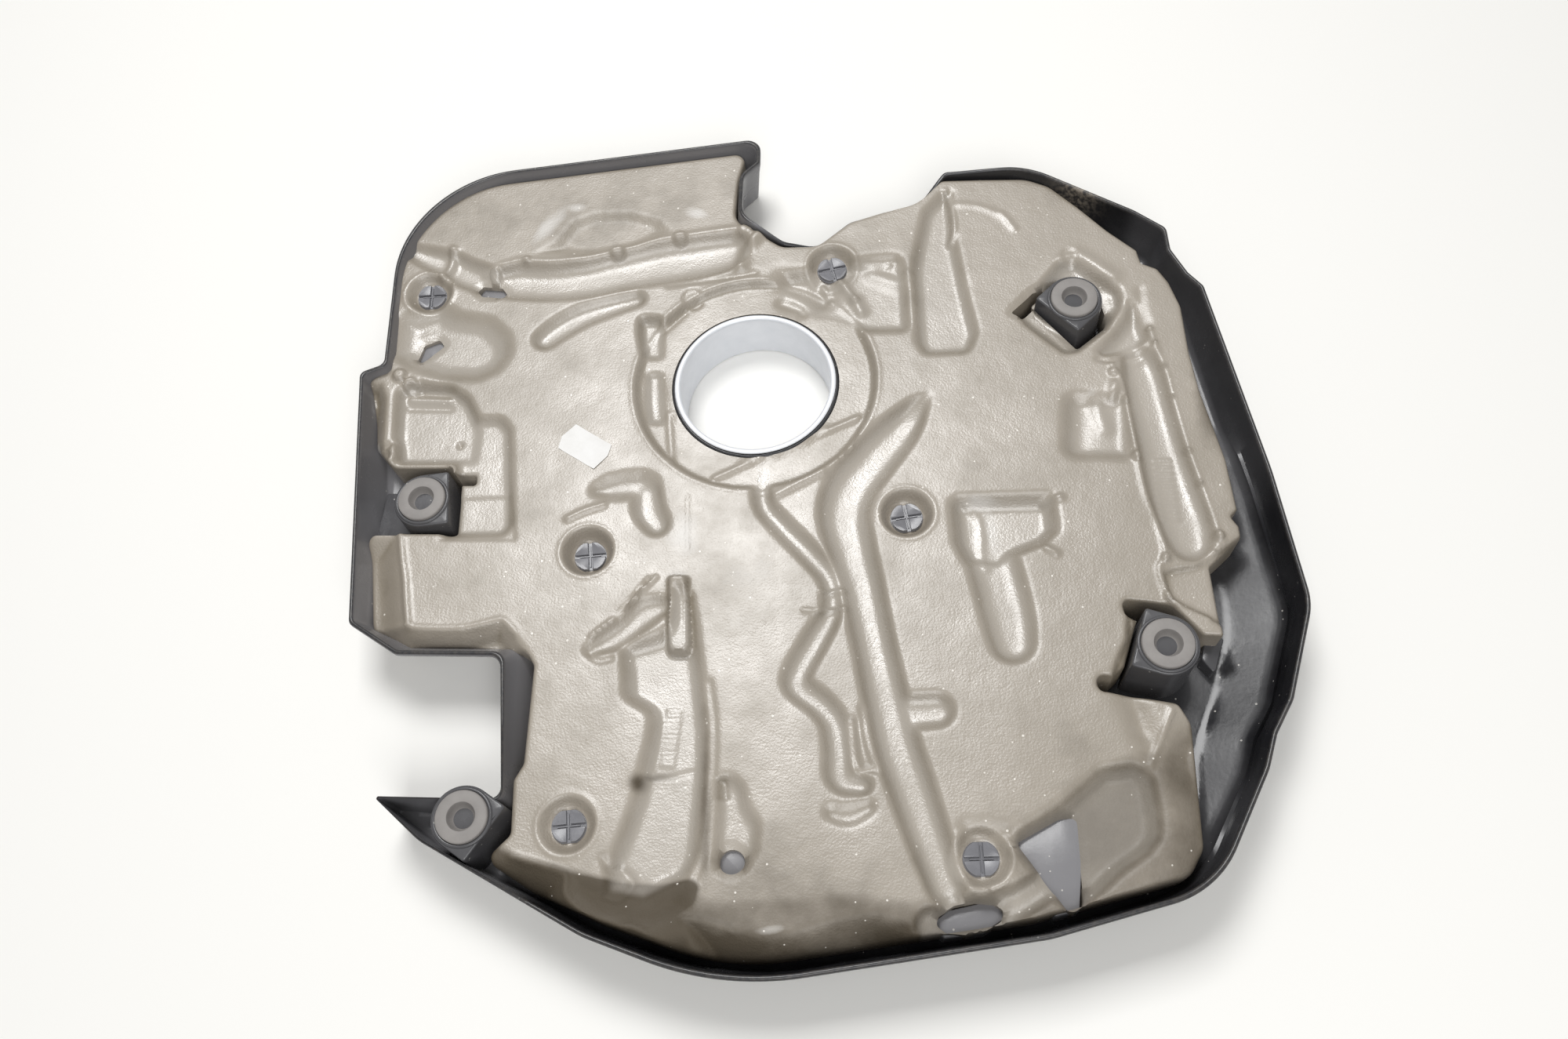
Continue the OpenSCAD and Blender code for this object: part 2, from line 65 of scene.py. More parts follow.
liner = {
    "top": 34.0, "gap": 0.4, "spacing": 1.35, "edgeRoll": 2.2, "holeRoll": 1.4, "soften": 1.15,
    # shares of the stated depths that the photo's shading bears out
    "pocketShare": 0.68, "channelShare": 0.6,
    "edge": [
        (-39, 236, 6), (-244, 208.5, 66), (-238, 86, 5), (-247, 75, 4), (-238, 36, 4), (-223, 20, 6), (-190, 20, 1.5),
        (-189, 17.5, 1), (-177.5, 17.5, 1.5), (-177, 12, 1.5), (-185, 12, 1), (-183, -19, 2), (-232, -19, 5),
        (-222, -70, 8), (-200, -84, 8), (-136, -84, 9), (-131, -92, 4), (-130, -142, 5), (-134, -150, 5),
        (-132, -176, 4), (-143, -188, 5), (-122, -200, 12), (-86, -214, 40), (-27, -232, 120), (112, -208, 60),
        (183, -188, 12), (190, -175, 10), (190.5, -117, 8), (184, -107.5, 5), (152, -102, 3), (146.8, -101.8, 4),
        (147.2, -93.5, 3.5), (155, -94.5, 2), (161, -88.5, 1.2), (168.6, -65, 0.8), (163, -61.8, 1.5),
        (161.5, -54.5, 3), (186, -57.5, 6), (199.5, -73, 4), (209.3, -73.5, 1.5), (207, -36, 3), (215, -28.5, 3),
        (223.5, -20.8, 3), (223.3, -14.5, 2), (219.8, -9, 1.5), (223.5, -5, 2), (221, 24, 40), (212, 66, 20),
        (209, 90, 12), (207.5, 120, 10), (202.5, 136, 8), (197, 145.5, 4), (188.5, 149.5, 2), (186.7, 158.3, 2),
        (171.4, 172.4, 10), (156, 189.5, 10), (140, 205.5, 12), (127, 211.3, 20), (100, 211.6, 20), (76, 211.4, 4),
        (60, 195, 18), (24, 182, 12), (5, 165, 12), (-15, 165, 10), (-44, 185, 12), (-43, 214, 9)],
    # channels moulded to clear pipes, as x, y, half width along each, with their depth
    "channels": [
        ([(-235, 165.5, 6), (-224, 161, 8), (-213, 157, 9.2), (-200, 149.5, 10), (-184, 144, 10.5),
          (-168, 143.5, 12.8), (-150, 142.5, 13), (-129, 144.5, 13.5), (-111, 149, 14), (-87, 154.5, 15),
          (-64, 158.5, 15), (-45, 163, 13)], 11),
        ([(-148.5, 103.5, 7.5), (-140, 111, 8.3), (-128, 119, 8), (-112, 125.5, 6.8), (-98, 130, 5.5)], 8),
        ([(68, 64, 2), (62, 57, 6), (56, 48, 9.5), (49, 39, 12), (36, 22, 13.5), (27, 8, 14), (23.5, -7, 13.8),
          (27.5, -27, 12.3), (32.8, -47, 11), (39, -77, 10.4), (43.8, -100, 10.8), (50.7, -130, 11.3), (58, -152, 11),
          (66, -176, 10), (73, -195, 9)], 12),
        ([(-20.3, 22, 4.8), (-19.3, 0, 5.4), (-10, -13, 5.8), (4, -28, 6), (15.5, -42, 5.5), (18, -53, 5.2),
          (17.5, -63, 5.6), (11, -76, 6.8), (2.5, -93, 7), (2, -101, 7), (13, -110, 6.8), (20, -119, 6.8),
          (22.5, -132, 6.8), (24, -146, 7), (34, -149.5, 5.2)], 7.5),
        ([(52, -114, 9.3), (70, -112.5, 8.8)], 7.5),
        ([(-67, -59, 5), (-76, -63, 8), (-84, -71, 7), (-92, -77.5, 6.5), (-102, -83, 4)], 6.5),
        ([(-82, 6, 8), (-80, -5, 8.8), (-75, -13, 7.4)], 8.5),
        ([(181, 88, 8), (183, 80, 11), (185.5, 58, 12), (188.5, 35, 12.5), (192.8, 6, 14), (196.8, -12, 14),
          (198.5, -22, 12)], 11),
        ([(99.5, -34, 13.5), (103, -50, 13.5), (106, -66, 13), (107.5, -77, 11.5)], 9),
        ([(20, -163, 4), (28, -164, 5), (37, -160, 4)], 3.5),
        ([(66, -212, 8), (84, -209, 10), (103, -202, 8), (118, -193, 7)], 10),
    ],
    # pockets as corners with radii, depth, width of their sloping sides
    "pockets": [
        ([(141.5, 152, 5), (153, 153, 7), (176.5, 132, 6), (177, 121, 6), (166, 104, 10), (150, 90, 4), (142, 89, 3),
          (121.5, 108.5, 4), (116, 118, 3)], 8, 5),
        ([(178, 128, 3), (185, 122, 6), (190.5, 99, 5), (184, 90.5, 5), (173, 87, 6), (161, 86, 3), (158, 92, 4),
          (168, 103, 8), (176, 115, 8)], 8, 7),
        ([(-240, 122, 8), (-212, 133, 8), (-201, 125, 6), (-181, 121, 14), (-167, 108, 14), (-164, 93, 13),
          (-171, 80, 12), (-184, 73.5, 12), (-207, 75, 8), (-228, 83, 6), (-240, 92, 6)], 10, 15),
        ([(-231, 70, 4), (-221, 76.5, 6), (-200, 74, 8), (-187, 66, 7), (-180, 54, 5), (-176, 46, 4), (-176, 22, 3),
          (-222, 22, 4), (-227, 38, 8)], 9, 5),
        ([(-186, 53, 7), (-166, 53, 6), (-159.5, 45, 6), (-154, 8, 20), (-151, -14, 6), (-156, -21, 5),
          (-190, -22, 3), (-190, 37, 3)], 6.5, 5),
        ([(78, 205, 4), (66, 190, 10), (59, 150, 12), (61, 98, 7), (66, 89, 5), (92, 90, 7), (97, 104, 8),
          (92, 130, 20), (86, 170, 16), (85, 205, 4)], 7.5, 6),
        ([(-14, 148, 6), (2, 151, 8), (30, 158, 7), (54, 160, 7), (58, 148, 6), (60, 104, 6), (34, 104, 9),
          (18, 110, 9), (-10, 118, 9), (-22, 132, 9)], 6.8, 7),
        ([(139, 66, 8), (136, 24, 8), (175, 22, 6), (178, 66, 7)], 6.5, 9),
        ([(77, 0, 5), (82, 4, 5), (133, 5.5, 4), (134.5, -17, 5), (127, -25, 5), (111, -32, 8), (105, -40, 5),
          (85, -37.5, 6), (79, -24, 8)], 11.5, 8),
        ([(-96.5, 118.5, 4), (-82, 118, 4), (-79.5, 109, 6), (-78.5, 89.5, 3), (-92, 89.5, 3),
          (-96, 108, 5)], 9.5, 3.5),
        ([(-91, 83.8, 4), (-78, 84.5, 4), (-76, 70, 8), (-73.5, 46.8, 3), (-86.5, 47.5, 3), (-89.5, 62, 8)], 9.5, 4),
        ([(-115.5, 3, 4), (-114, 10, 5), (-106, 16, 8), (-96, 19, 12), (-84, 20, 6), (-74.5, 15.5, 5), (-73, 5, 5),
          (-83, 0, 6), (-104, -1, 6)], 6, 7.5),
        ([(-90, -80, 6), (-86.5, -98, 10), (-85.5, -108.5, 5), (-79, -113, 5), (-71, -117, 6), (-71.5, -128, 14),
          (-74, -143, 20), (-76, -158, 20), (-80.5, -174, 20), (-86, -190, 8), (-86, -203, 5), (-66, -206, 6),
          (-45, -196, 8), (-40, -185, 14), (-39, -160, 20), (-38.5, -140, 20), (-39.5, -122, 20), (-43, -100, 20),
          (-48.5, -69, 12), (-52, -53, 4), (-56, -48, 3), (-65, -47.5, 3), (-66, -72, 8)], 9.5, 8),
        ([(100, -172, 6), (125, -156, 12), (145, -138.5, 9), (162, -135.5, 8), (170.5, -142, 8), (172.5, -160, 10),
          (172, -171, 8), (166, -179, 10), (152, -189, 10), (137, -203, 8), (127, -208, 5)], 13, 8),
        ([(-36, -145.5, 3), (-27, -145, 5), (-21, -150, 5), (-18.5, -160, 6), (-12.5, -168, 6), (-13, -182, 6),
          (-18, -191, 6), (-32, -193, 6), (-36, -181, 8)], 6, 5.5),
    ],
    # sloping banks and low steps: the area as corners, how far it falls (below 0 rises), over what width
    "banks": [
        ([(-210.4, -14), (-206.8, -32.8), (-203.2, -46.1), (-200.4, -59.3), (-196, -76), (-204, -92), (-260, -92),
          (-260, -14)], 9.5, 20),
        ([(-216, -70.5), (-208, -70.4), (-191.3, -72.1), (-171.4, -71.9), (-157, -68.5), (-149.8, -67.2),
          (-141.3, -75.3), (-134, -84), (-130, -98), (-225, -98), (-235, -76)], 8.5, 11),
        ([(-150, -186), (-130.8, -185.6), (-125, -185.4), (-114.2, -189.5), (-102.9, -193.6), (-101.4, -202.3),
          (-95.1, -208.7), (-85.5, -214.8), (-77.6, -216.6), (-71, -215.4), (-63, -218.3), (-56.3, -220.2),
          (-45, -217), (-37, -223), (-27, -227), (-12, -230), (0, -250), (-150, -250)], 15, 19),
        ([(-47, -211.4), (-34.8, -213.2), (-23.7, -216), (-8.4, -217.7), (2.3, -216.4), (18.4, -210.7),
          (25.9, -208.4), (41.8, -205.9), (56, -209), (66, -216), (75, -222), (110, -222), (110, -250),
          (-40, -250)], 13, 17),
        ([(180, -108), (168, -132), (175, -152), (175, -172), (170, -182), (150, -196), (142, -215), (200, -215),
          (205, -100)], 7, 22),
        ([(-238, 76), (-233, 66), (-230, 40), (-228, 20), (-252, 20), (-252, 78)], 10, 12),
        ([(-165.5, 162), (-152, 172.5), (-142.9, 187.9), (-129, 194.2), (-107.1, 194.6), (-88.4, 188.4),
          (-78.5, 176.9), (-100, 164), (-130, 158)], 2.6, 9),
        ([(-66, -44), (-55.5, -44), (-51.8, -80.7), (-53.5, -85), (-63, -84.6), (-64.8, -80.9)], -6.8, 1.8),
        ([(-185, 4), (-154.4, 5.2), (-148, -24), (-192, -24)], 0.8, 1.4),
        ([(163, -60.5), (162.8, -66), (162, -75), (156.5, -86), (153.5, -94), (155, -96), (163, -90),
          (170, -64)], 2.6, 2),
        ([(187, -37.5), (200, -34.8), (213, -25.5), (226, -18), (226, -80), (204, -66), (192, -60), (185, -54),
          (183.5, -48), (182.5, -40)], 3.0, 2.5),
        ([(-36, -146.5), (-29.6, -147), (-28.5, -157.5), (-35.5, -158.5)], 1.6, 1.5),
        ([(-102, -194), (-44, -195), (-40, -212), (-62, -218.5), (-85, -215), (-100, -204)], 3.5, 12),
    ],
    # where oil and dirt have stained the skin: corners, width of the soft edge, how dark
    "stains": [
        ([(-165, -168), (-150, -176), (-138.6, -178), (-124, -184), (-108.5, -187.5), (-82.8, -194.8),
          (-59.7, -195.7), (-46.7, -193.5), (-38.4, -196.7), (-41, -206.2), (-47.3, -210), (-29.2, -216.8),
          (-3.7, -217.6), (0, -250), (-165, -250)], 5, 0.95),
        ([(-101, -192), (-82.8, -194.4), (-59.7, -195.3), (-44, -193), (-38.4, -196.7), (-41, -206.2), (-52, -213),
          (-70, -216), (-86, -213.5), (-98, -203)], 3, 1.3),
        ([(100, -172), (125, -156), (145, -138.5), (162, -135.5), (170.5, -142), (172.5, -160), (172, -171),
          (166, -179), (152, -189), (137, -203), (127, -208)], 9, 0.78),
        ([(92, -176), (120, -160), (147, -130), (168, -124), (182, -112), (205, -110), (205, -215), (60, -225),
          (62, -212), (98, -196)], 14, 0.5),
        ([(-62, -190), (-30, -197), (20, -192), (60, -196), (110, -190), (110, -250), (-60, -250)], 12, 0.6)],
    # spots of dirt and wear: x, y, half widths, turn, strength; the wide round pale spots near the middle are painted
    # sheen
    "spots": {
        "grime": [(-15, -225, 50, 13, 5, 1.0), (70, -216, 70, 13, 3, 0.9), (140, -197, 40, 14, 20, 0.45),
                  (-73, -150, 5, 5, 0, 1.0), (-68, -147, 10, 2, 10, 0.8), (216, 55, 8, 24, 0, 0.7),
                  (214, 95, 5, 14, 10, 0.6), (140, -165, 40, 34, 20, 0.35), (-120, 190, 110, 22, 8, 0.25),
                  (0, -200, 60, 22, 0, 0.35), (-40, -160, 3, 45, 4, 0.6), (30, 145, 45, 30, 0, 0.2),
                  (172, -140, 8, 40, 10, 0.25)],
        "scuffAndSheen": [(-156, 183, 6, 18, -35, 0.75), (-140, 196, 8, 4, 0, 0.6), (-66, 190, 9, 5, -15, 0.8),
                  (-60, -20, 11, 17, 0, 0.6), (-20, -42, 22, 22, 0, 0.35), (-6, -216, 9, 3, 10, 0.7),
                  (100, -14, 5, 16, 8, 0.8), (95, 0, 12, 4, 0, 0.7), (-237, 33, 3, 7, 0, 0.9),
                  (155, 65, 5, 4, 30, 0.6), (-105, -20, 8, 8, 0, 0.3), (10, -80, 30, 30, 0, 0.25)]},
    # presses change what is there by a little: kind, points, depth (below 0 stands up), width
    "presses": [
        ("line", [(-211.6, 166), (-212.5, 157), (-215.5, 148)], -2.6, 3.2),
        ("line", [(-59.5, 3), (-57.3, -28)], 0.5, 0.9), ("line", [(-27, 176), (-35.3, 165), (-39, 152)], -3.5, 5),
        ("line", [(-190, 151), (-176, 155.5), (-168.3, 157.5), (-150, 156.5), (-128.7, 159), (-111.3, 164),
                  (-86.9, 171), (-64.1, 174.8), (-41.3, 178.4)], -1.3, 3), ("dot", [(-184.5, 150)], -2.6, 3.6),
        ("dot", [(-165.6, 158)], -1.5, 2.4), ("dot", [(-112, 163)], -2.2, 4.2), ("dot", [(-75.5, 172.4)], -1.8, 4.2),
        ("dot", [(-37, 176.5)], -2.6, 4.4), ("dot", [(-65.5, 130)], 1.1, 6.5),
        ("line", [(-70, 122), (-81, 110)], 1.0, 2.5), ("line", [(-80, 139), (-58, 142), (-30, 147)], 1.2, 2.4),
        ("line", [(-46, 15), (-22, 27.5)], -1.5, 2.2), ("line", [(-15, 30), (30, 51.6)], -1.5, 2.2),
        ("line", [(-13, 3), (12, 17)], -1.6, 2.6), ("line", [(-74, 55), (-70, 25)], -1.0, 2.2),
        ("line", [(80, 203), (83, 190), (84, 176), (82, 166)], -2.2, 2.0),
        ("line", [(86, 193), (99, 191), (112, 184), (118, 176)], -0.55, 2.6),
        ("line", [(112, 186), (119, 174)], -0.5, 2.0), ("line", [(-222, 66), (-199, 65)], -1.6, 2.2),
        ("line", [(-222, 71), (-198, 70)], 1.4, 2.2), ("line", [(-222, 61), (-199, 60.5)], 1.2, 2.2),
        ("line", [(-237, 34), (-231, 33), (-226, 36)], 2.2, 2.6),
        ("line", [(-225, 36), (-223.5, 27), (-227, 22)], -2.6, 3), ("dot", [(-230, 27)], 2.0, 4),
        ("dot", [(-222, 73)], -2.6, 4.5), ("dot", [(-229, 79)], -3, 4), ("dot", [(-189.8, 19.5)], -1.6, 3),
        ("dot", [(-190, 37)], 2.4, 1.8),
        ("line", [(-212.5, -19), (-208.8, -33), (-205, -46), (-202.2, -59), (-199.5, -70)], -1.6, 2.2),
        ("line", [(-222, -71), (-208, -71), (-191, -72.8), (-171, -72.6), (-157, -69.4), (-149.8, -68),
                  (-142, -75)], -1.0, 2.2), ("line", [(-122.4, -10.8), (-113.5, -6), (-103.7, -2.6)], -1.8, 2.2),
        ("line", [(-72.5, -44), (-81, -53.5), (-89.5, -64.5), (-97, -71), (-103, -76.5)], -1.5, 1.5),
        ("line", [(-76.5, -45), (-84.5, -56.5), (-91, -66)], 1.6, 1.5),
        ("line", [(-78.5, -49), (-86, -60)], -1.2, 1.3), ("line", [(-105, -84), (-99, -89), (-92, -88)], 1.2, 2.4),
        ("line", [(-86, -187), (-83, -191), (-78, -191), (-73, -195)], 1.5, 2.4),
        ("line", [(-84, -203), (-77, -204), (-72, -197)], 1.2, 2),
        ("line", [(-41.5, -100), (-37.5, -125), (-37, -160), (-38, -180), (-42, -194)], 1.0, 2.4),
        ("line", [(-68.5, -146), (-60, -146.5), (-51, -144), (-42, -142.5)], 0.9, 0.9),
        ("line", [(-130, -186.4), (-114, -190.5), (-103.6, -194.2), (-102.4, -202.6), (-95.6, -209.8), (-85.5, -216),
                  (-77.6, -217.8), (-71, -216.6), (-63, -219.5)], -1.3, 2.2),
        ("line", [(-47, -212.4), (-34.8, -214.2), (-23.7, -217)], -1.0, 2),
        ("line", [(12, -51), (24, -50)], -1.6, 1.6), ("line", [(12, -61), (25, -60)], -1.6, 1.6),
        ("line", [(4, -61.5), (12, -62.5)], -1.0, 1.6), ("line", [(29, -119), (32, -140), (38, -142)], 2.2, 2.4),
        ("line", [(33.5, -112), (36, -128), (41, -143)], 1.2, 1.6), ("line", [(-14, 128), (-9, 126)], 2.2, 4.5),
        ("line", [(-4, 124), (-2, 121)], 1.8, 3.5), ("line", [(28, 128), (31, 121)], -2.4, 4),
        ("line", [(38, 146), (52, 140)], -1.5, 6), ("line", [(8, 139), (13, 133)], 2.6, 7),
        ("line", [(-13, 143), (-2, 138), (8, 130)], 3, 8), ("line", [(19, 142), (27, 129)], -2.6, 3.0),
        ("line", [(9, 140), (14, 129)], -1.6, 2.4), ("line", [(26, 152), (46, 152)], -1.1, 3),
        ("line", [(48, 152), (56, 146)], -0.8, 3), ("dot", [(149, 155)], 1.2, 5),
        ("line", [(130, 130), (150, 155), (172, 140)], -1.6, 5),
        ("line", [(167, 82), (171.8, 71), (173.5, 58), (175, 40), (178, 8), (182.8, -12), (185.2, -30), (181.5, -38),
                  (183, -48), (185, -53.5), (192, -58), (203, -64)], -1.3, 1.8),
        ("line", [(188.9, 104.5), (192.5, 87.6), (195.6, 73.5), (197.7, 56.5), (201.7, 31.6), (206.2, 11),
                  (209.8, -7.6), (212.7, -19.9)], -0.9, 1.7), ("dot", [(189, 105)], -1.2, 1.6),
        ("dot", [(191, 96)], -1.0, 1.4), ("dot", [(194, 81)], -1.2, 1.7), ("dot", [(196.6, 62)], -1.0, 1.5),
        ("dot", [(201.8, 29)], -1.4, 1.8), ("dot", [(206, 10)], -1.2, 1.8), ("dot", [(212.7, -20)], -2.0, 2.8),
        ("dot", [(175.5, 26)], -1.8, 2.8), ("dot", [(185.3, -32.5)], -1.6, 2.6), ("dot", [(184.4, -53)], -1.8, 2.4),
        ("dot", [(167, 77)], -1.8, 2.4), ("dot", [(172.8, 61)], -1.6, 2.2),
        ("line", [(160, 86), (166, 84.7), (173.2, 87), (182.7, 90.5), (188.7, 95.5)], 1.4, 1.8),
        ("line", [(186, 131), (186.1, 121), (188, 109)], 0.8, 3), ("line", [(168, 69), (166, 62)], -2, 4),
        ("line", [(150, 60), (148, 30)], 0.9, 7), ("line", [(158, 60), (161, 44)], -1.2, 5),
        ("line", [(86, 0), (93.5, -9), (94.3, -29), (96, -37)], -0.6, 2.4),
        ("line", [(163, -106), (165, -121)], 0.7, 5), ("line", [(127, 0), (135, 1.8)], -2.0, 2.2),
        ("line", [(126, -27), (131, -30)], -1.8, 2.2), ("line", [(100, -171), (92, -170), (84, -170)], 2.5, 5),
        ("line", [(166, -112), (170, -137)], 0.9, 6), ("line", [(181, -111), (168.7, -138)], -1.2, 1.8),
        ("line", [(160, -100), (171, -128)], 1.4, 9),
    ],
    # rows of short ribs left by ribbed hoses: from, to, how many, length, depth
    "ribRows": [((189.5, 26), (190.6, -8), 10, 8, 0.9), ((-58.8, -113), (-60.4, -140), 11, 6, 0.8)],
    # holes down to the tray, as corners with radii
    "holes": [
        [(105, -174, 3), (128, -206, 4), (135, -201, 4), (134, -161, 3), (126, -162, 5)],
        [(-194.5, 140.5, 2), (-189.5, 133, 2), (-179.5, 133.5, 2), (-177, 139, 2), (-180.5, 143.5, 2),
         (-192, 144.5, 1.5)],
        [(-223.5, 93.5, 1), (-221, 91.5, 1), (-215, 98, 3), (-209.5, 103.5, 1.5), (-213, 108, 2), (-221.5, 104, 2)],
        [(114.5, 117, 1), (120.5, 114.8, 1), (130.5, 125.5, 1.5), (134.5, 129, 1), (133.3, 134, 1), (127, 130.5, 1)],
    ],
    "ovalHole": {"centre": (83.5, -208), "long": (15.5, 3.5), "short": (-2.5, 6.5)},
    "roundHole": (-26, -186, 6),
    # round step moulded about the filler opening
    "stepRadius": 66, "stepDepth": 4.0,
    # how the foam keeps inside the skirt: the skirt's usual lean, what the side cut-out adds to it and where,
    # the room left to the skirt, and how much of the distance to the rim counts
    "keep": {"lean": 0.12, "more": 0.28, "centre": (-174, -86), "reach": (34, 16), "room": 1.2, "share": 0.75},
    # clips as x, y, how far their recess falls
    "clips": [(-221, 136, 7.0), (-110, -29, 10.0), (-105, -171, 6.0), (14, 151, 7.0), (56, -7, 8.8), (89, -182, 5.5)],
    "clipRecess": 13.0, "clipStands": 1.1,
}


def toLinear(hexColour):
    parts = [int(hexColour[i:i + 2], 16) / 255 for i in (1, 3, 5)]
    return tuple(c / 12.92 if c <= 0.04045 else ((c + 0.055) / 1.055) ** 2.4 for c in parts) + (1.0,)


def addNode(tree, kind, settings=None, inputs=None):
    node = tree.nodes.new(kind)
    for name, value in (settings or {}).items():
        setattr(node, name, value)
    for name, value in (inputs or {}).items():
        if isinstance(value, bpy.types.NodeSocket):
            tree.links.new(value, node.inputs[name])
        else:
            node.inputs[name].default_value = value
    return node


def unit(v):
    return v / np.hypot(v[0], v[1])


def splinePoints(path, spacing):
    # smooth curve through the points; a third column, such as a half width, goes along
    p = np.array(path, float)
    ends = np.vstack([2 * p[0] - p[1], p, 2 * p[-1] - p[-2]])
    parts = []
    for i in range(len(p) - 1):
        a, b, c, d = ends[i:i + 4]
        steps = max(2, int(np.hypot(*(c - b)[:2]) / spacing))
        t = (np.arange(steps) / steps)[:, None]
        curve = 2 * b + (c - a) * t + (2 * a - 5 * b + 4 * c - d) * t ** 2 + (3 * b - a - 3 * c + d) * t ** 3
        parts.append(curve / 2)
    return np.vstack(parts + [p[-1:]])


def roundedLoop(corners, spacing):
    # points of an outline with its corners rounded, and for each the way it moves when the outline shrinks
    base = np.array(corners, float)
    n = len(base)
    arcs, ways = [], []
    for i in range(n):
        a, b, c, r = base[i - 1, :2], base[i, :2], base[(i + 1) % n, :2], base[i, 2]
        u, v = unit(b - a), unit(c - b)
        turn = math.atan2(u[0] * v[1] - u[1] * v[0], u @ v)
        m, k = np.array([-u[1], u[0]]), np.array([-v[1], v[0]])
        way = (m + k) / max(1 + m @ k, 0.6)
        side = 1 if turn > 0 else -1
        centre = b - u * r * math.tan(abs(turn) / 2) + side * m * r
        steps = max(2, math.ceil(abs(turn) * r / spacing), math.ceil(abs(turn) / math.radians(14)))
        angles = np.arange(steps + 1) * turn / steps
        start = -side * m * r
        arcs.append(np.stack([centre[0] + start[0] * np.cos(angles) - start[1] * np.sin(angles),
                              centre[1] + start[0] * np.sin(angles) + start[1] * np.cos(angles)], 1))
        ways.append(np.tile(way, (steps + 1, 1)))
    points, moves, owners = [], [], []
    for i in range(n):
        a, b = arcs[i][-1], arcs[(i + 1) % n][0]
        steps = max(1, math.ceil(np.hypot(*(b - a)) / spacing))
        t = (np.arange(1, steps) / steps)[:, None]
        points += [arcs[i], a + (b - a) * t]
        moves += [ways[i], ways[i][-1] + (ways[(i + 1) % n][0] - ways[i][-1]) * t]
        owners += [np.full(len(arcs[i]), float(i)), i + t[:, 0]]
    return np.vstack(points), np.vstack(moves), np.concatenate(owners)


def alongCorners(owners, values, usual, count):
    # a value that is given at some corners, taken smoothly along the outline
    given = np.array([values.get(i, usual) for i in range(count)] + [values.get(0, usual)], float)
    return np.interp(owners, np.arange(count + 1), given)


def circle(centre, radius, count):
    a = np.arange(count) * 2 * math.pi / count
    return np.stack([centre[0] + radius * np.cos(a), centre[1] + radius * np.sin(a)], 1)


def dShape(tower, grow, count=40):
    # a tower's outline about its mount: round on one side, square on the other
    x, y, _, turn = tower
    r, flat = 15.5 + grow, 14 + grow
    a = np.radians(np.linspace(90, 270, count))
    roundSide = np.stack([r * np.cos(a), r * np.sin(a)], 1)
    k = 1.2
    square = np.array([(flat - k, -r), (flat - 0.3 * k, -r + 0.3 * k), (flat, -r + k),
                       (flat, r - k), (flat - 0.3 * k, r - 0.3 * k), (flat - k, r)])
    p = np.vstack([roundSide, square])
    c, s = math.cos(math.radians(turn)), math.sin(math.radians(turn))
    return np.stack([x + p[:, 0] * c - p[:, 1] * s, y + p[:, 0] * s + p[:, 1] * c], 1)


def cutBack(loop, tower, towards, reach):
    # an opening about a tower that goes further out on one side
    d = loop - np.array(tower[:2])
    angle = np.degrees(np.arctan2(d[:, 1], d[:, 0]))
    off = np.abs((angle - towards + 180) % 360 - 180)
    more = reach * smooth((65 - off) / 50)
    return loop + d / np.hypot(d[:, 0], d[:, 1])[:, None] * more[:, None]


def domeFloor(x, y):
    sink = cover["flatRadius"] ** 2 / (2 * cover["domeRadius"])
    r = cover["domeRadius"] - cover["floor"]
    return np.maximum(cover["floor"], cover["domeRadius"] - sink - np.sqrt(r * r - x * x - y * y))


def domeOuter(x, y):
    sink = cover["flatRadius"] ** 2 / (2 * cover["domeRadius"])
    r = cover["domeRadius"]
    return np.maximum(0.0, r - sink - np.sqrt(r * r - x * x - y * y))


def segmentDistance(x, y, a, b):
    e = b - a
    t = np.clip(((x - a[0]) * e[0] + (y - a[1]) * e[1]) / max(e @ e, 1e-9), 0, 1)
    return np.hypot(x - a[0] - t * e[0], y - a[1] - t * e[1])


def insideLoop(x, y, loop):
    inside = np.zeros(x.shape, bool)
    for a, b in zip(loop, np.roll(loop, -1, 0)):
        if a[1] != b[1]:
            inside ^= ((a[1] > y) != (b[1] > y)) & (x < (b[0] - a[0]) * (y - a[1]) / (b[1] - a[1]) + a[0])
    return inside


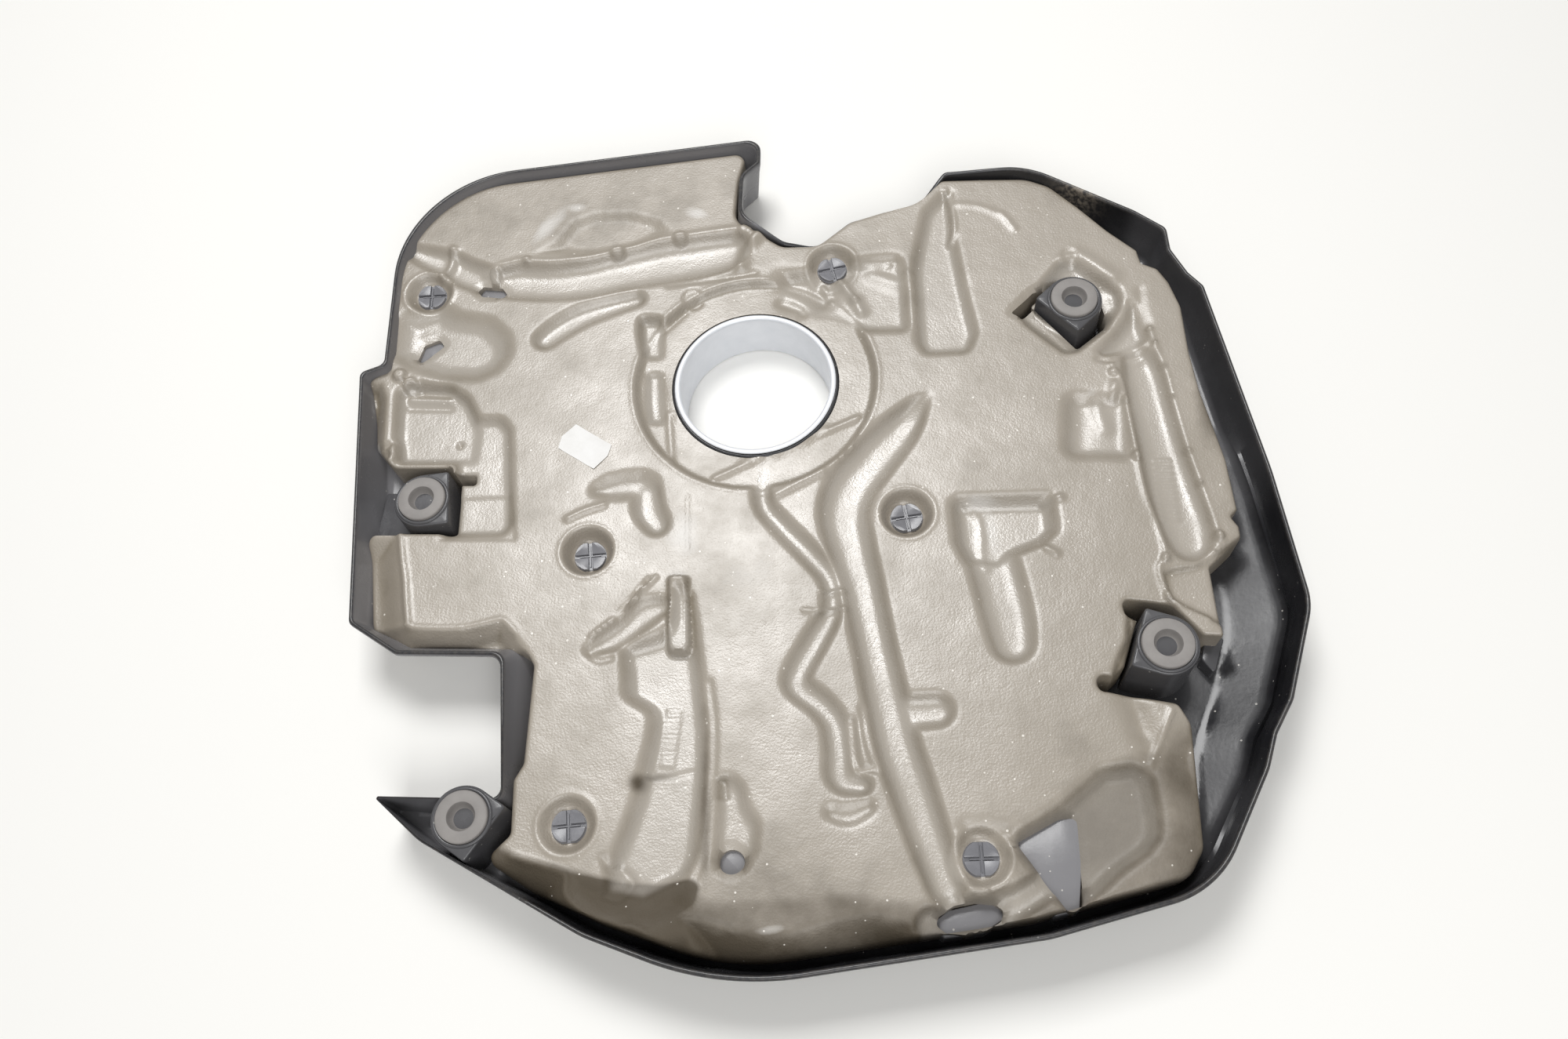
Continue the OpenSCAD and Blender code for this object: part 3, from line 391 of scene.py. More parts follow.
class DepthField:
    # depths on a fine square grid over the whole cover
    def __init__(self, step=0.6):
        self.step, self.x0, self.y0 = step, -256.0, -250.0
        self.nx, self.ny = int(512 / step) + 1, int(500 / step) + 1
        self.depth = np.zeros((self.ny, self.nx))

    def window(self, points, margin):
        p = np.asarray(points, float)
        i0 = max(int((p[:, 0].min() - margin - self.x0) / self.step), 0)
        i1 = min(int((p[:, 0].max() + margin - self.x0) / self.step) + 2, self.nx)
        j0 = max(int((p[:, 1].min() - margin - self.y0) / self.step), 0)
        j1 = min(int((p[:, 1].max() + margin - self.y0) / self.step) + 2, self.ny)
        x = self.x0 + np.arange(i0, i1) * self.step
        y = self.y0 + np.arange(j0, j1) * self.step
        return (slice(j0, j1), slice(i0, i1)), *np.meshgrid(x, y)

    def nearPath(self, path, margin, spacing=0.8):
        # distance to a smooth path over the half width there
        line = splinePoints(path, spacing) if len(path) > 1 else np.array(path, float)
        where, x, y = self.window(line, margin)
        best = np.full(x.shape, 1e9)
        width = np.ones(x.shape)
        for p in line:
            d = np.hypot(x - p[0], y - p[1])
            w = p[2] if len(p) > 2 else 1.0
            closer = d / w < best
            best[closer] = (d / w)[closer]
            width[closer] = w
        return where, best, width

    def insidePolygon(self, points, margin):
        # distance inside a closed outline, below 0 outside it
        p = np.asarray(points, float)
        where, x, y = self.window(p, margin)
        best = np.full(x.shape, 1e9)
        for a, b in zip(p, np.roll(p, -1, 0)):
            best = np.minimum(best, segmentDistance(x, y, a, b))
        return where, np.where(insideLoop(x, y, p), best, -best)

    def nearLoops(self, loops, margin):
        # distance to closed outlines, known within the margin about them
        self.depth[:] = 1e9
        for p in loops:
            for a, b in zip(p, np.roll(p, -1, 0)):
                where, x, y = self.window([a, b], margin)
                self.depth[where] = np.minimum(self.depth[where], segmentDistance(x, y, a, b))

    def carve(self, where, depth):
        self.depth[where] = np.maximum(self.depth[where], depth)

    def press(self, where, depth):
        self.depth[where] += depth

    def soften(self, size):
        reach = int(3 * size / self.step) + 1
        k = np.exp(-0.5 * (np.arange(-reach, reach + 1) * self.step / size) ** 2)
        k /= k.sum()
        d = np.pad(self.depth, reach, mode="edge")
        rows = sum(w * d[i:i + self.ny, :] for i, w in enumerate(k))
        self.depth = sum(w * rows[:, i:i + self.nx] for i, w in enumerate(k))

    def at(self, x, y):
        u = np.clip((x - self.x0) / self.step, 0, self.nx - 1.001)
        v = np.clip((y - self.y0) / self.step, 0, self.ny - 1.001)
        i, j = u.astype(int), v.astype(int)
        fu, fv = u - i, v - j
        d = self.depth
        return ((d[j, i] * (1 - fu) + d[j, i + 1] * fu) * (1 - fv)
                + (d[j + 1, i] * (1 - fu) + d[j + 1, i + 1] * fu) * fv)


def smooth(t):
    t = np.clip(t, 0, 1)
    return t * t * (3 - 2 * t)


def fillLoops(outer, holes, spacing, rings=(), creases=()):
    # triangles inside an outline and outside its holes, with the loops' points first and evenly spread points after;
    # a crease is an open line that edges follow
    loops = [outer] + list(holes)
    starts = np.cumsum([0] + [len(p) for p in loops])
    boundary = np.vstack(loops)
    edges = [(int(s + i), int(s + (i + 1) % len(p))) for s, p in zip(starts, loops) for i in range(len(p))]
    field = DepthField(1.0)
    field.nearLoops(loops, 6)
    sign = np.zeros(field.depth.shape, bool)
    for p in loops:
        where, x, y = field.window(p, 2)
        sign[where] ^= insideLoop(x, y, p)
    field.depth = np.where(sign, field.depth, -field.depth)
    extra = []
    for offset in rings:
        for p in loops:
            e = np.roll(p, -1, 0) - np.roll(p, 1, 0)
            normal = np.stack([-e[:, 1], e[:, 0]], 1) / np.maximum(np.hypot(e[:, 0], e[:, 1]), 1e-9)[:, None]
            moved = p + normal * offset
            extra.append(moved[field.at(moved[:, 0], moved[:, 1]) > offset * 0.8])
    reach = (max(rings) if len(rings) else 0) + spacing * 0.6
    rows = np.arange(-245, 246, spacing * 0.866)
    columns = np.arange(-256, 256, spacing)
    grid = np.vstack([np.stack([columns + (k % 2) * spacing / 2, np.full(len(columns), y)], 1)
                      for k, y in enumerate(rows)])
    far = field.at(grid[:, 0], grid[:, 1])
    extra.append(grid[far > reach])
    scattered = np.vstack(extra)
    for line in creases:
        line = line[field.at(line[:, 0], line[:, 1]) > spacing * 0.7]
        far = np.ones(len(scattered), bool)
        for a in line:
            far &= np.hypot(scattered[:, 0] - a[0], scattered[:, 1] - a[1]) > spacing * 0.45
        scattered = scattered[far]
        first = len(boundary)
        boundary = np.vstack([boundary, line])
        edges += [(first + i, first + i + 1) for i in range(len(line) - 1)]
    points = np.vstack([boundary, scattered])
    found = delaunay_2d_cdt([Vector(p) for p in points.tolist()], edges, [], 0, 1e-5, True)
    back, crossings = [], []
    for place, origins in zip(found[0], found[3]):
        if not origins:
            crossings.append(tuple(place))
        back.append(origins[0] if origins else len(points) + len(crossings) - 1)
    if crossings:
        print("outlines cross at", crossings)
        points = np.vstack([points, crossings])
    triangles = np.array([[back[i] for i in f] for f in found[2]], int)
    middle = points[triangles].mean(1)
    keep = field.at(middle[:, 0], middle[:, 1]) > 0
    # the grid of distances is coarse, so triangles near the outline are tested against it exactly
    near = np.abs(field.at(middle[:, 0], middle[:, 1])) < 1.5
    x, y = middle[near, 0], middle[near, 1]
    inside = np.zeros(len(x), bool)
    for p in loops:
        inside ^= insideLoop(x, y, p)
    keep[near] = inside
    triangles = triangles[keep]
    a, b, c = (points[triangles[:, k]] for k in range(3))
    area = (b[:, 0] - a[:, 0]) * (c[:, 1] - a[:, 1]) - (b[:, 1] - a[:, 1]) * (c[:, 0] - a[:, 0])
    triangles[area < 0] = triangles[area < 0][:, ::-1]
    return points, triangles[np.abs(area) > 1e-7], starts


class MeshParts:
    # vertices in millimetres and faces, put together bit by bit
    def __init__(self):
        self.points, self.faces, self.count = [], [], 0

    def add(self, points, faces):
        start = self.count
        self.points.append(np.asarray(points, float))
        self.faces += [[int(i) + start for i in f] for f in faces]
        self.count += len(points)
        return start

    def addRings(self, rings, closed=True):
        # quads between rings of equally many points
        n = len(rings[0])
        faces = []
        for k in range(len(rings) - 1 + (1 if closed else 0)):
            a, b = k * n, ((k + 1) % len(rings)) * n
            for i in range(n):
                j = (i + 1) % n
                faces.append((a + i, a + j, b + j, b + i))
        return self.add(np.vstack(rings), faces)

    def make(self, name, sharpAngle=40, merge=0.002):
        mesh = bpy.data.meshes.new(name)
        mesh.from_pydata((np.vstack(self.points) * mm).tolist(), [], self.faces)
        bm = bmesh.new()
        bm.from_mesh(mesh)
        bmesh.ops.remove_doubles(bm, verts=bm.verts, dist=merge * mm)
        bmesh.ops.recalc_face_normals(bm, faces=bm.faces)
        bm.to_mesh(mesh)
        bm.free()
        mesh.shade_smooth()
        if sharpAngle:
            mesh.set_sharp_from_angle(angle=math.radians(sharpAngle))
        obj = bpy.data.objects.new(name, mesh)
        bpy.context.scene.collection.objects.link(obj)
        return obj


def atHeight(loop, z):
    return np.column_stack([loop, np.full(len(loop), z)])


def revolve(parts, profile, centre, count, capped=False):
    # rings about an upright axis through the profile's radii and heights, with flat ends where asked
    rings = [atHeight(circle(centre, r, count), z) for r, z in profile]
    parts.addRings(rings, closed=profile[0] == profile[-1])
    if capped:
        for ring in (rings[0], rings[-1]):
            parts.add(ring, [list(range(count))])


def setAttribute(obj, name, values):
    layer = obj.data.attributes.new(name, "FLOAT", "POINT")
    layer.data.foreach_set("value", np.asarray(values, np.float32))


def placesOf(obj):
    p = np.empty(len(obj.data.vertices) * 3)
    obj.data.vertices.foreach_get("co", p)
    return p.reshape(-1, 3) / mm


def newMaterial(name):
    material = bpy.data.materials.new(name)
    material.use_nodes = True
    tree = material.node_tree
    tree.nodes.clear()
    shader = addNode(tree, "ShaderNodeBsdfPrincipled")
    addNode(tree, "ShaderNodeOutputMaterial", None, {"Surface": shader.outputs["BSDF"]})
    return material, tree, shader


def mixColours(tree, factor, first, second):
    node = addNode(tree, "ShaderNodeMix", {"data_type": "RGBA"})
    # a mix node's sockets share their names, so they go by number: factor, and the two colours
    for index, value in ((0, factor), (6, first), (7, second)):
        if isinstance(value, bpy.types.NodeSocket):
            tree.links.new(value, node.inputs[index])
        else:
            node.inputs[index].default_value = value
    return node.outputs[2]


def attributeOf(tree, name):
    return addNode(tree, "ShaderNodeAttribute", {"attribute_name": name}).outputs["Fac"]


def noiseOf(tree, where, scale, detail, roughness=0.5):
    return addNode(tree, "ShaderNodeTexNoise", None, {
        "Vector": where, "Scale": scale, "Detail": detail, "Roughness": roughness}).outputs["Fac"]


def compute(tree, operation, *values, clamp=False):
    settings = {"operation": operation, "use_clamp": clamp}
    return addNode(tree, "ShaderNodeMath", settings, dict(enumerate(values))).outputs[0]


def remap(tree, value, low, high, to=(0.0, 1.0)):
    return addNode(tree, "ShaderNodeMapRange", {"clamp": True}, {
        "Value": value, "From Min": low, "From Max": high, "To Min": to[0], "To Max": to[1]}).outputs["Result"]


def speckMask(tree, where, sizeMm, rarest, largest):
    # round specks of many sizes, one in each chosen cell
    cells = addNode(tree, "ShaderNodeTexVoronoi", None, {"Vector": where, "Scale": 1000 / sizeMm})
    chosen = addNode(tree, "ShaderNodeSeparateColor", None, {"Color": cells.outputs["Color"]}).outputs["Red"]
    size = remap(tree, chosen, rarest, 1.0, (0.0, largest))
    return compute(tree, "LESS_THAN", cells.outputs["Distance"], size)


def bumpOf(tree, height, strength, distanceMm, under=None):
    inputs = {"Strength": strength, "Distance": distanceMm * mm, "Height": height}
    if under is not None:
        inputs["Normal"] = under
    return addNode(tree, "ShaderNodeBump", None, inputs).outputs["Normal"]


foamFinish = {"skin": "#a0978a", "brown": "#6f6553", "grime": "#453c2e", "scuffAndSheen": "#c9c5bf", "speck": "#f4efe6",
              "channelSheen": "#b9b3aa", "grainMm": 1.1, "mottleMm": 26, "speckMm": 4.6, "roughness": 0.37}


def makeFoamSkin():
    # polyurethane foam moulded in a closed tool: the tool leaves a tight skin with a soft sheen,
    # fine grain and pale specks of dust that stick to it
    s = foamFinish
    skin, brown, dirty, paleAndSheen, dot, channelSheen = (
        toLinear(s[name]) for name in ("skin", "brown", "grime", "scuffAndSheen", "speck", "channelSheen"))
    material, tree, shader = newMaterial("moulded polyurethane foam with a skin")
    where = addNode(tree, "ShaderNodeTexCoord").outputs["Object"]
    grime, scuffAndSheen, hollow, crease = (attributeOf(tree, name) for name in ("grime", "scuffAndSheen", "hollow", "crease"))
    mottle = noiseOf(tree, where, 1000 / s["mottleMm"], 4.0, 0.6)
    patches = noiseOf(tree, where, 9.0, 3.0)
    grain = noiseOf(tree, where, 1000 / s["grainMm"], 2.0)
    base = mixColours(tree, remap(tree, mottle, 0.35, 0.7, (0.0, 0.32)), skin, brown)
    base = mixColours(tree, remap(tree, patches, 0.42, 0.66, (0.0, 0.25)), base, brown)
    # painted shade: brown darkening at the foot of the walls and in the creases
    base = mixColours(tree, remap(tree, crease, 0.1, 1.0, (0.0, 0.6)), base, brown)
    broken = compute(tree, "MULTIPLY_ADD", mottle, 0.9, -0.45)
    grimeEdge = compute(tree, "ADD", grime, broken)
    base = mixColours(tree, remap(tree, grimeEdge, 0.12, 0.85, (0.0, 0.9)), base, dirty)
    # pale scuffs, and painted sheen where the wide round spots near the middle lighten the skin
    scuffAndSheenEdge = compute(tree, "ADD", scuffAndSheen, broken)
    base = mixColours(tree, remap(tree, scuffAndSheenEdge, 0.3, 0.7, (0.0, 0.8)), base, paleAndSheen)
    speckShare = compute(tree, "MULTIPLY", speckMask(tree, where, s["speckMm"], 0.55, 0.13), 0.75)
    base = mixColours(tree, speckShare, base, dot)
    # painted sheen: the floors of the channels and pockets are lightened towards a paler colour
    base = mixColours(tree, remap(tree, hollow, 0.0, 1.0, (0.0, 0.35)), base, channelSheen)
    tree.links.new(base, shader.inputs["Base Color"])
    # the skin is tightest and shiniest where the foam was pressed thin, in the channels
    dull = remap(tree, mottle, 0.3, 0.7, (s["roughness"] - 0.06, s["roughness"] + 0.08))
    dull = compute(tree, "MULTIPLY_ADD", hollow, -0.06, dull)
    dull = compute(tree, "MULTIPLY_ADD", grime, 0.25, dull)
    tree.links.new(dull, shader.inputs["Roughness"])
    shader.inputs["IOR"].default_value = 1.55
    tree.links.new(remap(tree, grime, 0.0, 0.8, (1.0, 0.3)), shader.inputs["Specular IOR Level"])
    fine = bumpOf(tree, grain, 0.5, 0.3)
    tree.links.new(bumpOf(tree, mottle, 0.5, 1.2, fine), shader.inputs["Normal"])
    return material


trayFinish = {"plastic": "#1d1d20", "dusty": "#4a4a4c", "wornAndHighlight": "#8d8478", "paleAndSheen": "#a2a1a4", "speck": "#cfccc6",
              "roughness": 0.22, "speckMm": 4.5}


def makeTrayPlastic():
    # glass-filled polyamide, injection moulded against a polished tool: black, half gloss, dusty inside
    s = trayFinish
    material, tree, shader = newMaterial("injection moulded black polyamide")
    where = addNode(tree, "ShaderNodeTexCoord").outputs["Object"]
    wearAndRimHighlight, dust, paleAndSheen, polish = (attributeOf(tree, name) for name in ("wearAndRimHighlight", "dust", "paleAndSheen", "polish"))
    cloud = noiseOf(tree, where, 38.0, 5.0, 0.62)
    fine = noiseOf(tree, where, 420.0, 3.0)
    dustShare = compute(tree, "MULTIPLY", dust, remap(tree, cloud, 0.35, 0.7, (0.15, 0.8)))
    base = mixColours(tree, dustShare, toLinear(s["plastic"]), toLinear(s["dusty"]))
    # painted reflection: a pale grey on the glossy walls and floor, and on the pads dust as well
    base = mixColours(tree, paleAndSheen, base, toLinear(s["paleAndSheen"]))
    # worn colour, also used as a painted highlight along the rim's top edge
    wearAndRimHighlightShare = compute(tree, "MULTIPLY", wearAndRimHighlight, remap(tree, fine, 0.4, 0.62, (0.1, 0.9)))
    base = mixColours(tree, wearAndRimHighlightShare, base, toLinear(s["wornAndHighlight"]))
    speckShare = compute(tree, "MULTIPLY", speckMask(tree, where, s["speckMm"], 0.6, 0.14), dust)
    base = mixColours(tree, speckShare, base, toLinear(s["speck"]))
    tree.links.new(base, shader.inputs["Base Color"])
    dull = remap(tree, cloud, 0.3, 0.7, (s["roughness"] - 0.06, s["roughness"] + 0.1))
    tree.links.new(compute(tree, "MULTIPLY_ADD", polish, -0.1, dull), shader.inputs["Roughness"])
    shader.inputs["IOR"].default_value = 1.52
    shader.inputs["Specular IOR Level"].default_value = 0.36
    tree.links.new(bumpOf(tree, fine, 0.12, 0.3), shader.inputs["Normal"])
    return material


def makePlain(name, colour, other, roughness, metallic=0.0, bumpStrength=0.1, share=(0.0, 0.5), polished=False):
    # one colour broken up by a second one, with a fine grain in the surface
    material, tree, shader = newMaterial(name)
    where = addNode(tree, "ShaderNodeTexCoord").outputs["Object"]
    cloud = noiseOf(tree, where, 90.0, 5.0, 0.6)
    fine = noiseOf(tree, where, 900.0, 2.0)
    base = mixColours(tree, remap(tree, cloud, 0.38, 0.68, share), toLinear(colour), toLinear(other))
    tree.links.new(base, shader.inputs["Base Color"])
    dull = remap(tree, cloud, 0.3, 0.7, (roughness - 0.05, roughness + 0.08))
    if polished:
        dull = compute(tree, "MULTIPLY_ADD", attributeOf(tree, "polish"), -0.42, dull, clamp=True)
    tree.links.new(dull, shader.inputs["Roughness"])
    shader.inputs["Metallic"].default_value = metallic
    shader.inputs["IOR"].default_value = 1.5
    tree.links.new(bumpOf(tree, fine, bumpStrength, 0.2), shader.inputs["Normal"])
    return material


foamSkin = makeFoamSkin()
trayPlastic = makeTrayPlastic()
# nitrile rubber, compression moulded: dull grey with a bloom on it, and shiny where the ball stud has worked
rubber = makePlain("compression moulded nitrile rubber", "#8a8683", "#a39f9b", 0.6, bumpStrength=0.2, polished=True)
# polyacetal clips, injection moulded: dark grey with a wet gloss
clipPlastic = makePlain("injection moulded dark polyacetal", "#707074", "#8a8a8f", 0.24)
# ABS with a sprayed silver lacquer: fine flakes give it a soft metallic sheen
silverLacquer = makePlain("silver lacquered ABS", "#e2e4e8", "#d2d5da", 0.38, metallic=0.25, share=(0.0, 0.35))
# matt coated paper
labelPaper = makePlain("matt white label paper", "#f3f2f0", "#e6e4e0", 0.7, bumpStrength=0.15)
print("materials ready")


def buildLiner():
    s = liner
    field = DepthField()
    for path, depth in s["channels"]:
        widest = max(p[2] for p in path)
        where, t, width = field.nearPath(path, widest + 2)
        t = np.clip(t, 0, 1)
        # a channel gets shallower where it narrows
        field.carve(where, s["channelShare"] * depth * (1 - t ** 3.8) * smooth(width / (0.8 * widest)))
    for corners, depth, slope in s["pockets"]:
        where, inside = field.insidePolygon(roundedLoop(corners, 2.5)[0], 2)
        t = np.clip(inside / slope, 0, 1)
        field.carve(where, s["pocketShare"] * depth * (0.6 * smooth(t) + 0.4 * np.sin(t * math.pi / 2)))
    hollows = DepthField()
    hollows.depth = field.depth.copy()
    where, t, _ = field.nearPath([(*cover["filler"], s["stepRadius"])], s["stepRadius"] + 4)
    field.carve(where, np.where(t < 1, s["stepDepth"], 0.0))
    field.soften(s["soften"])
    # foam stands up a little along the step
    field.press(where, -0.7 * np.exp(-((t - 1.03) / 0.016) ** 2))
    for area, fall, width in s["banks"]:
        where, inside = field.insidePolygon(np.array(area, float), 2)
        field.press(where, fall * smooth(np.clip(inside / width, 0, 1)) * np.where(inside > 0, 1, 0))
    # what lies deeper than its surroundings, which the skin shows darker as painted shade
    creaseShadeDepth = DepthField()
    creaseShadeDepth.depth = field.depth.copy()
    creaseShadeDepth.soften(2.6)
    creaseShadeDepth.depth = field.depth - creaseShadeDepth.depth
    for x, y, fall in s["clips"]:
        where, t, _ = field.nearPath([(x, y, s["clipRecess"])], s["clipRecess"] + 3)
        ring = smooth((1.12 - t) / 0.46)
        held = field.depth[where]
        sunk = fall - s["clipStands"]
        field.depth[where] = held + (np.maximum(sunk, np.minimum(held, sunk + 0.4)) - held) * ring
        field.press(where, -0.7 * np.exp(-((t - 1.13) / 0.08) ** 2))
    field.soften(0.5)
    for kind, points, depth, width in s["presses"]:
        path = [(*p, width) for p in points]
        where, t, _ = field.nearPath(path, width * 1.6)
        share = np.exp(-(t * 1.25) ** 2) if kind == "line" else smooth((1.15 - t) / 0.5)
        field.press(where, depth * share)
    for (ax, ay), (bx, by), count, length, depth in s["ribRows"]:
        along = unit(np.array([bx - ax, by - ay]))
        across = np.array([-along[1], along[0]]) * length / 2
        for k in range(count):
            p = np.array([ax, ay]) + (np.array([bx, by]) - (ax, ay)) * k / (count - 1)
            where, t, _ = field.nearPath([(*(p - across), 1.1), (*(p + across), 1.1)], 3)
            field.press(where, -depth * np.exp(-(t * 1.1) ** 2))

    edge = roundedLoop(s["edge"], 1.6)[0]
    # only one tower stands in a hole of its own, and the other three cut into the edge
    tower = cover["towers"]["top"]
    holes = [circle(cover["filler"], cover["neckOutside"] + s["gap"], 150),
             cutBack(dShape(tower, 1.3, 50), tower, -62, 5.5)]
    holes += [roundedLoop(h, 1.3)[0] for h in s["holes"]]
    (cx, cy), (lx, ly), (wx, wy) = (s["ovalHole"][key] for key in ("centre", "long", "short"))
    holes.append(roundedLoop([
        (cx + lx * math.cos(a) + wx * math.sin(a), cy + wy * math.sin(a) + ly * math.cos(a), 2.5)
        for a in np.radians(np.arange(0, 360, 36))], 1.3)[0])
    holes.append(circle(s["roundHole"][:2], s["roundHole"][2], 26))
    points, triangles, starts = fillLoops(edge, holes, s["spacing"], rings=(0.6, 1.5, 2.6))
    x, y = points[:, 0], points[:, 1]

    rollField, holeField = DepthField(), DepthField()
    rollField.nearLoops([edge], 7)
    holeField.nearLoops(holes[1:], 7)
    toEdge, toHole = rollField.at(x, y), holeField.at(x, y)
    isEdge = np.arange(len(x)) < starts[1]
    toEdge[isEdge] = 0
    toHole[starts[2]:starts[-1]] = 0
    depth = field.at(x, y)
    for distance, roll in ((toEdge, s["edgeRoll"]), (toHole, s["holeRoll"])):
        d = np.clip(distance, 0, roll)
        depth = depth + 0.9 * (roll - np.sqrt(np.maximum(roll * roll - (roll - d) ** 2, 0)))
    floor = domeFloor(x, y) + s["gap"]
    z = np.maximum(s["top"] - depth, floor + 2.5)

    # the skirt leans in on its way down, most at the side cut-out, and the foam keeps inside it
    rimField = DepthField()
    where, inside = rimField.insidePolygon(roundedLoop(cover["rim"], 2.5)[0], 2)
    rimField.depth[where] = inside

    def keepInside(x, y, z):
        d = rimField.at(x, y)
        k = s["keep"]
        (cx, cy), (rx, ry) = k["centre"], k["reach"]
        lean = k["lean"] + k["more"] * np.exp(-((x - cx) / rx) ** 4 - ((y - cy) / ry) ** 4)
        move = np.maximum(lean * (cover["rimHeight"] - z) + k["room"] - k["share"] * d, 0)
        gx = rimField.at(x + 1, y) - rimField.at(x - 1, y)
        gy = rimField.at(x, y + 1) - rimField.at(x, y - 1)
        size = np.maximum(np.hypot(gx, gy), 1e-6)
        return x + move * gx / size, y + move * gy / size

    count = starts[-1]
    parts = MeshParts()
    parts.add(np.stack([*keepInside(x, y, z), z], 1), triangles)
    lowX, lowY = keepInside(x[:count], y[:count], floor[:count])
    lowPoints = np.stack([lowX, lowY], 1)
    base = parts.add(np.stack([lowX, lowY, domeFloor(lowX, lowY) + s["gap"]], 1), [])
    for a, b in zip(starts[:-1], starts[1:]):
        n = b - a
        for i in range(n):
            j = (i + 1) % n
            parts.faces.append([int(a + i), int(a + j), int(base + a + j), int(base + a + i)])
    loops = [lowPoints[a:b] for a, b in zip(starts[:-1], starts[1:])]
    under, underFaces, _ = fillLoops(loops[0], loops[1:], 14.0)
    parts.add(np.column_stack([under, domeFloor(*under.T) + s["gap"]]), underFaces[:, ::-1])
    obj = parts.make("foamLinerSkin", sharpAngle=55, merge=0.01)

    p = placesOf(obj)
    x, y = p[:, 0], p[:, 1]
    stained = DepthField()
    for corners, width, share in s["stains"]:
        where, inside = stained.insidePolygon(np.array(corners, float), 2)
        stained.depth[where] = np.maximum(stained.depth[where], share * smooth(np.clip(inside / width, 0, 1)))
    stained.soften(1.2)
    for name, spots in s["spots"].items():
        total = np.zeros(len(x))
        for bx, by, rx, ry, turn, strength in spots:
            c, q = math.cos(math.radians(turn)), math.sin(math.radians(turn))
            u, v = ((x - bx) * c + (y - by) * q) / rx, (-(x - bx) * q + (y - by) * c) / ry
            total = np.maximum(total, strength * np.exp(-(u * u + v * v)))
        if name == "grime":
            total = np.maximum(total, stained.at(x, y))
        setAttribute(obj, name, total)
    # where the channels and pockets lie: it lowers the roughness there, and paints sheen into the colour
    setAttribute(obj, "hollow", smooth((hollows.at(x, y) - 1.5) / 4))
    # painted shade in the creases, from how far each place lies below its surroundings
    setAttribute(obj, "crease", np.clip(creaseShadeDepth.at(x, y) / 1.1, 0, 1))
    obj.data.materials.append(foamSkin)
    return obj


linerSkin = buildLiner()
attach(linerSkin, "root")
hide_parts("foam_liner")
print("liner made:", len(linerSkin.data.polygons), "faces")


tray = {
    # how much the skirt leans in on its way down, usually and at some corners of the rim
    "lean": 0.12, "leanAt": {4: 0.2, 5: 0.40, 6: 0.40, 7: 0.16, 8: 0.1},
    # at the thin tip everything is narrower
    "narrow": {6: 1.0, 7: 0.5, 8: 0.30, 9: 0.42, 10: 0.9},
    "rimDrop": {24: 0.0, 25: 3.5, 26: 10.0, 27: 11.0, 28: 11.0, 29: 6.0, 30: 0.0},
    "bottomRound": 6.0, "fillet": 3.5,
    # a crease along the right-hand side where the floor bends up, as points from its upper end
    "crease": [(206, 60), (212, 20), (216, -24), (218.1, -42.3), (216.6, -66.3), (208.7, -92.8), (196.8, -123.7),
               (194, -148.4), (188, -175)],
    "creaseSlope": 0.3, "creaseRound": 2.2,
    # the inner face's opening about the neck, and the outer face's recess for the collar's foot
    "neckFoot": 48.0, "collarRecess": 47.15,
    # low pads on the floor as corners, the height of their flat top and how pale they are with dust and painted
    # reflection
    "pads": [([(201, -80.5), (204, -66.5), (213, -69.5), (206.5, -88)], 19.0, 0.1),
             ([(-232, -17), (-206, -17), (-206, 12), (-230, 12)], 19.0, 0.15),
             ([(98.5, -177), (122, -206), (133, -203), (138, -160), (126, -156)], 24.0, 0.6),
             ([(-34, -194), (-18, -194), (-18, -178), (-34, -178)], 26.0, 0.65),
             ([(65, -211), (72, -216.5), (90, -213.5), (102, -205), (101, -199), (92, -199.5),
               (74, -204)], 22.0, 0.6),
             ([(-198, 131), (-174, 131), (-174, 146), (-198, 146)], 23.5, 0.7),
             ([(-227, 90), (-209, 90), (-209, 111), (-227, 111)], 23.5, 0.7)],
}


def towerParts(parts, tower):
    # a hollow block with a rounded top edge, a lip round the mount's opening
    x, y, top, turn = tower
    base = domeFloor(x, y) - 1.0
    rings = []
    for grow, z in ((0.9, base), (0.6, base + 1.5), (0.0, top - 1.2), (-0.15, top - 0.6), (-0.5, top - 0.15),
                    (-1.1, top)):
        rings.append(atHeight(dShape(tower, grow), z))
    parts.addRings(rings, closed=False)
    lip = []
    for r, z in ((14.6, top), (14.3, top + 0.7), (13.9, top + 0.9), (13.2, top + 0.9), (12.9, top + 0.6),
                 (12.9, top - 2.5)):
        lip.append(atHeight(circle((x, y), r, 64), z))
    parts.addRings(lip, closed=False)
    loop, hole = rings[-1][:, :2], lip[0][:, :2]
    flat, faces, _ = fillLoops(loop, [hole], 30.0)
    parts.add(atHeight(flat, top), faces)
    parts.add(lip[-1], [list(range(64))])


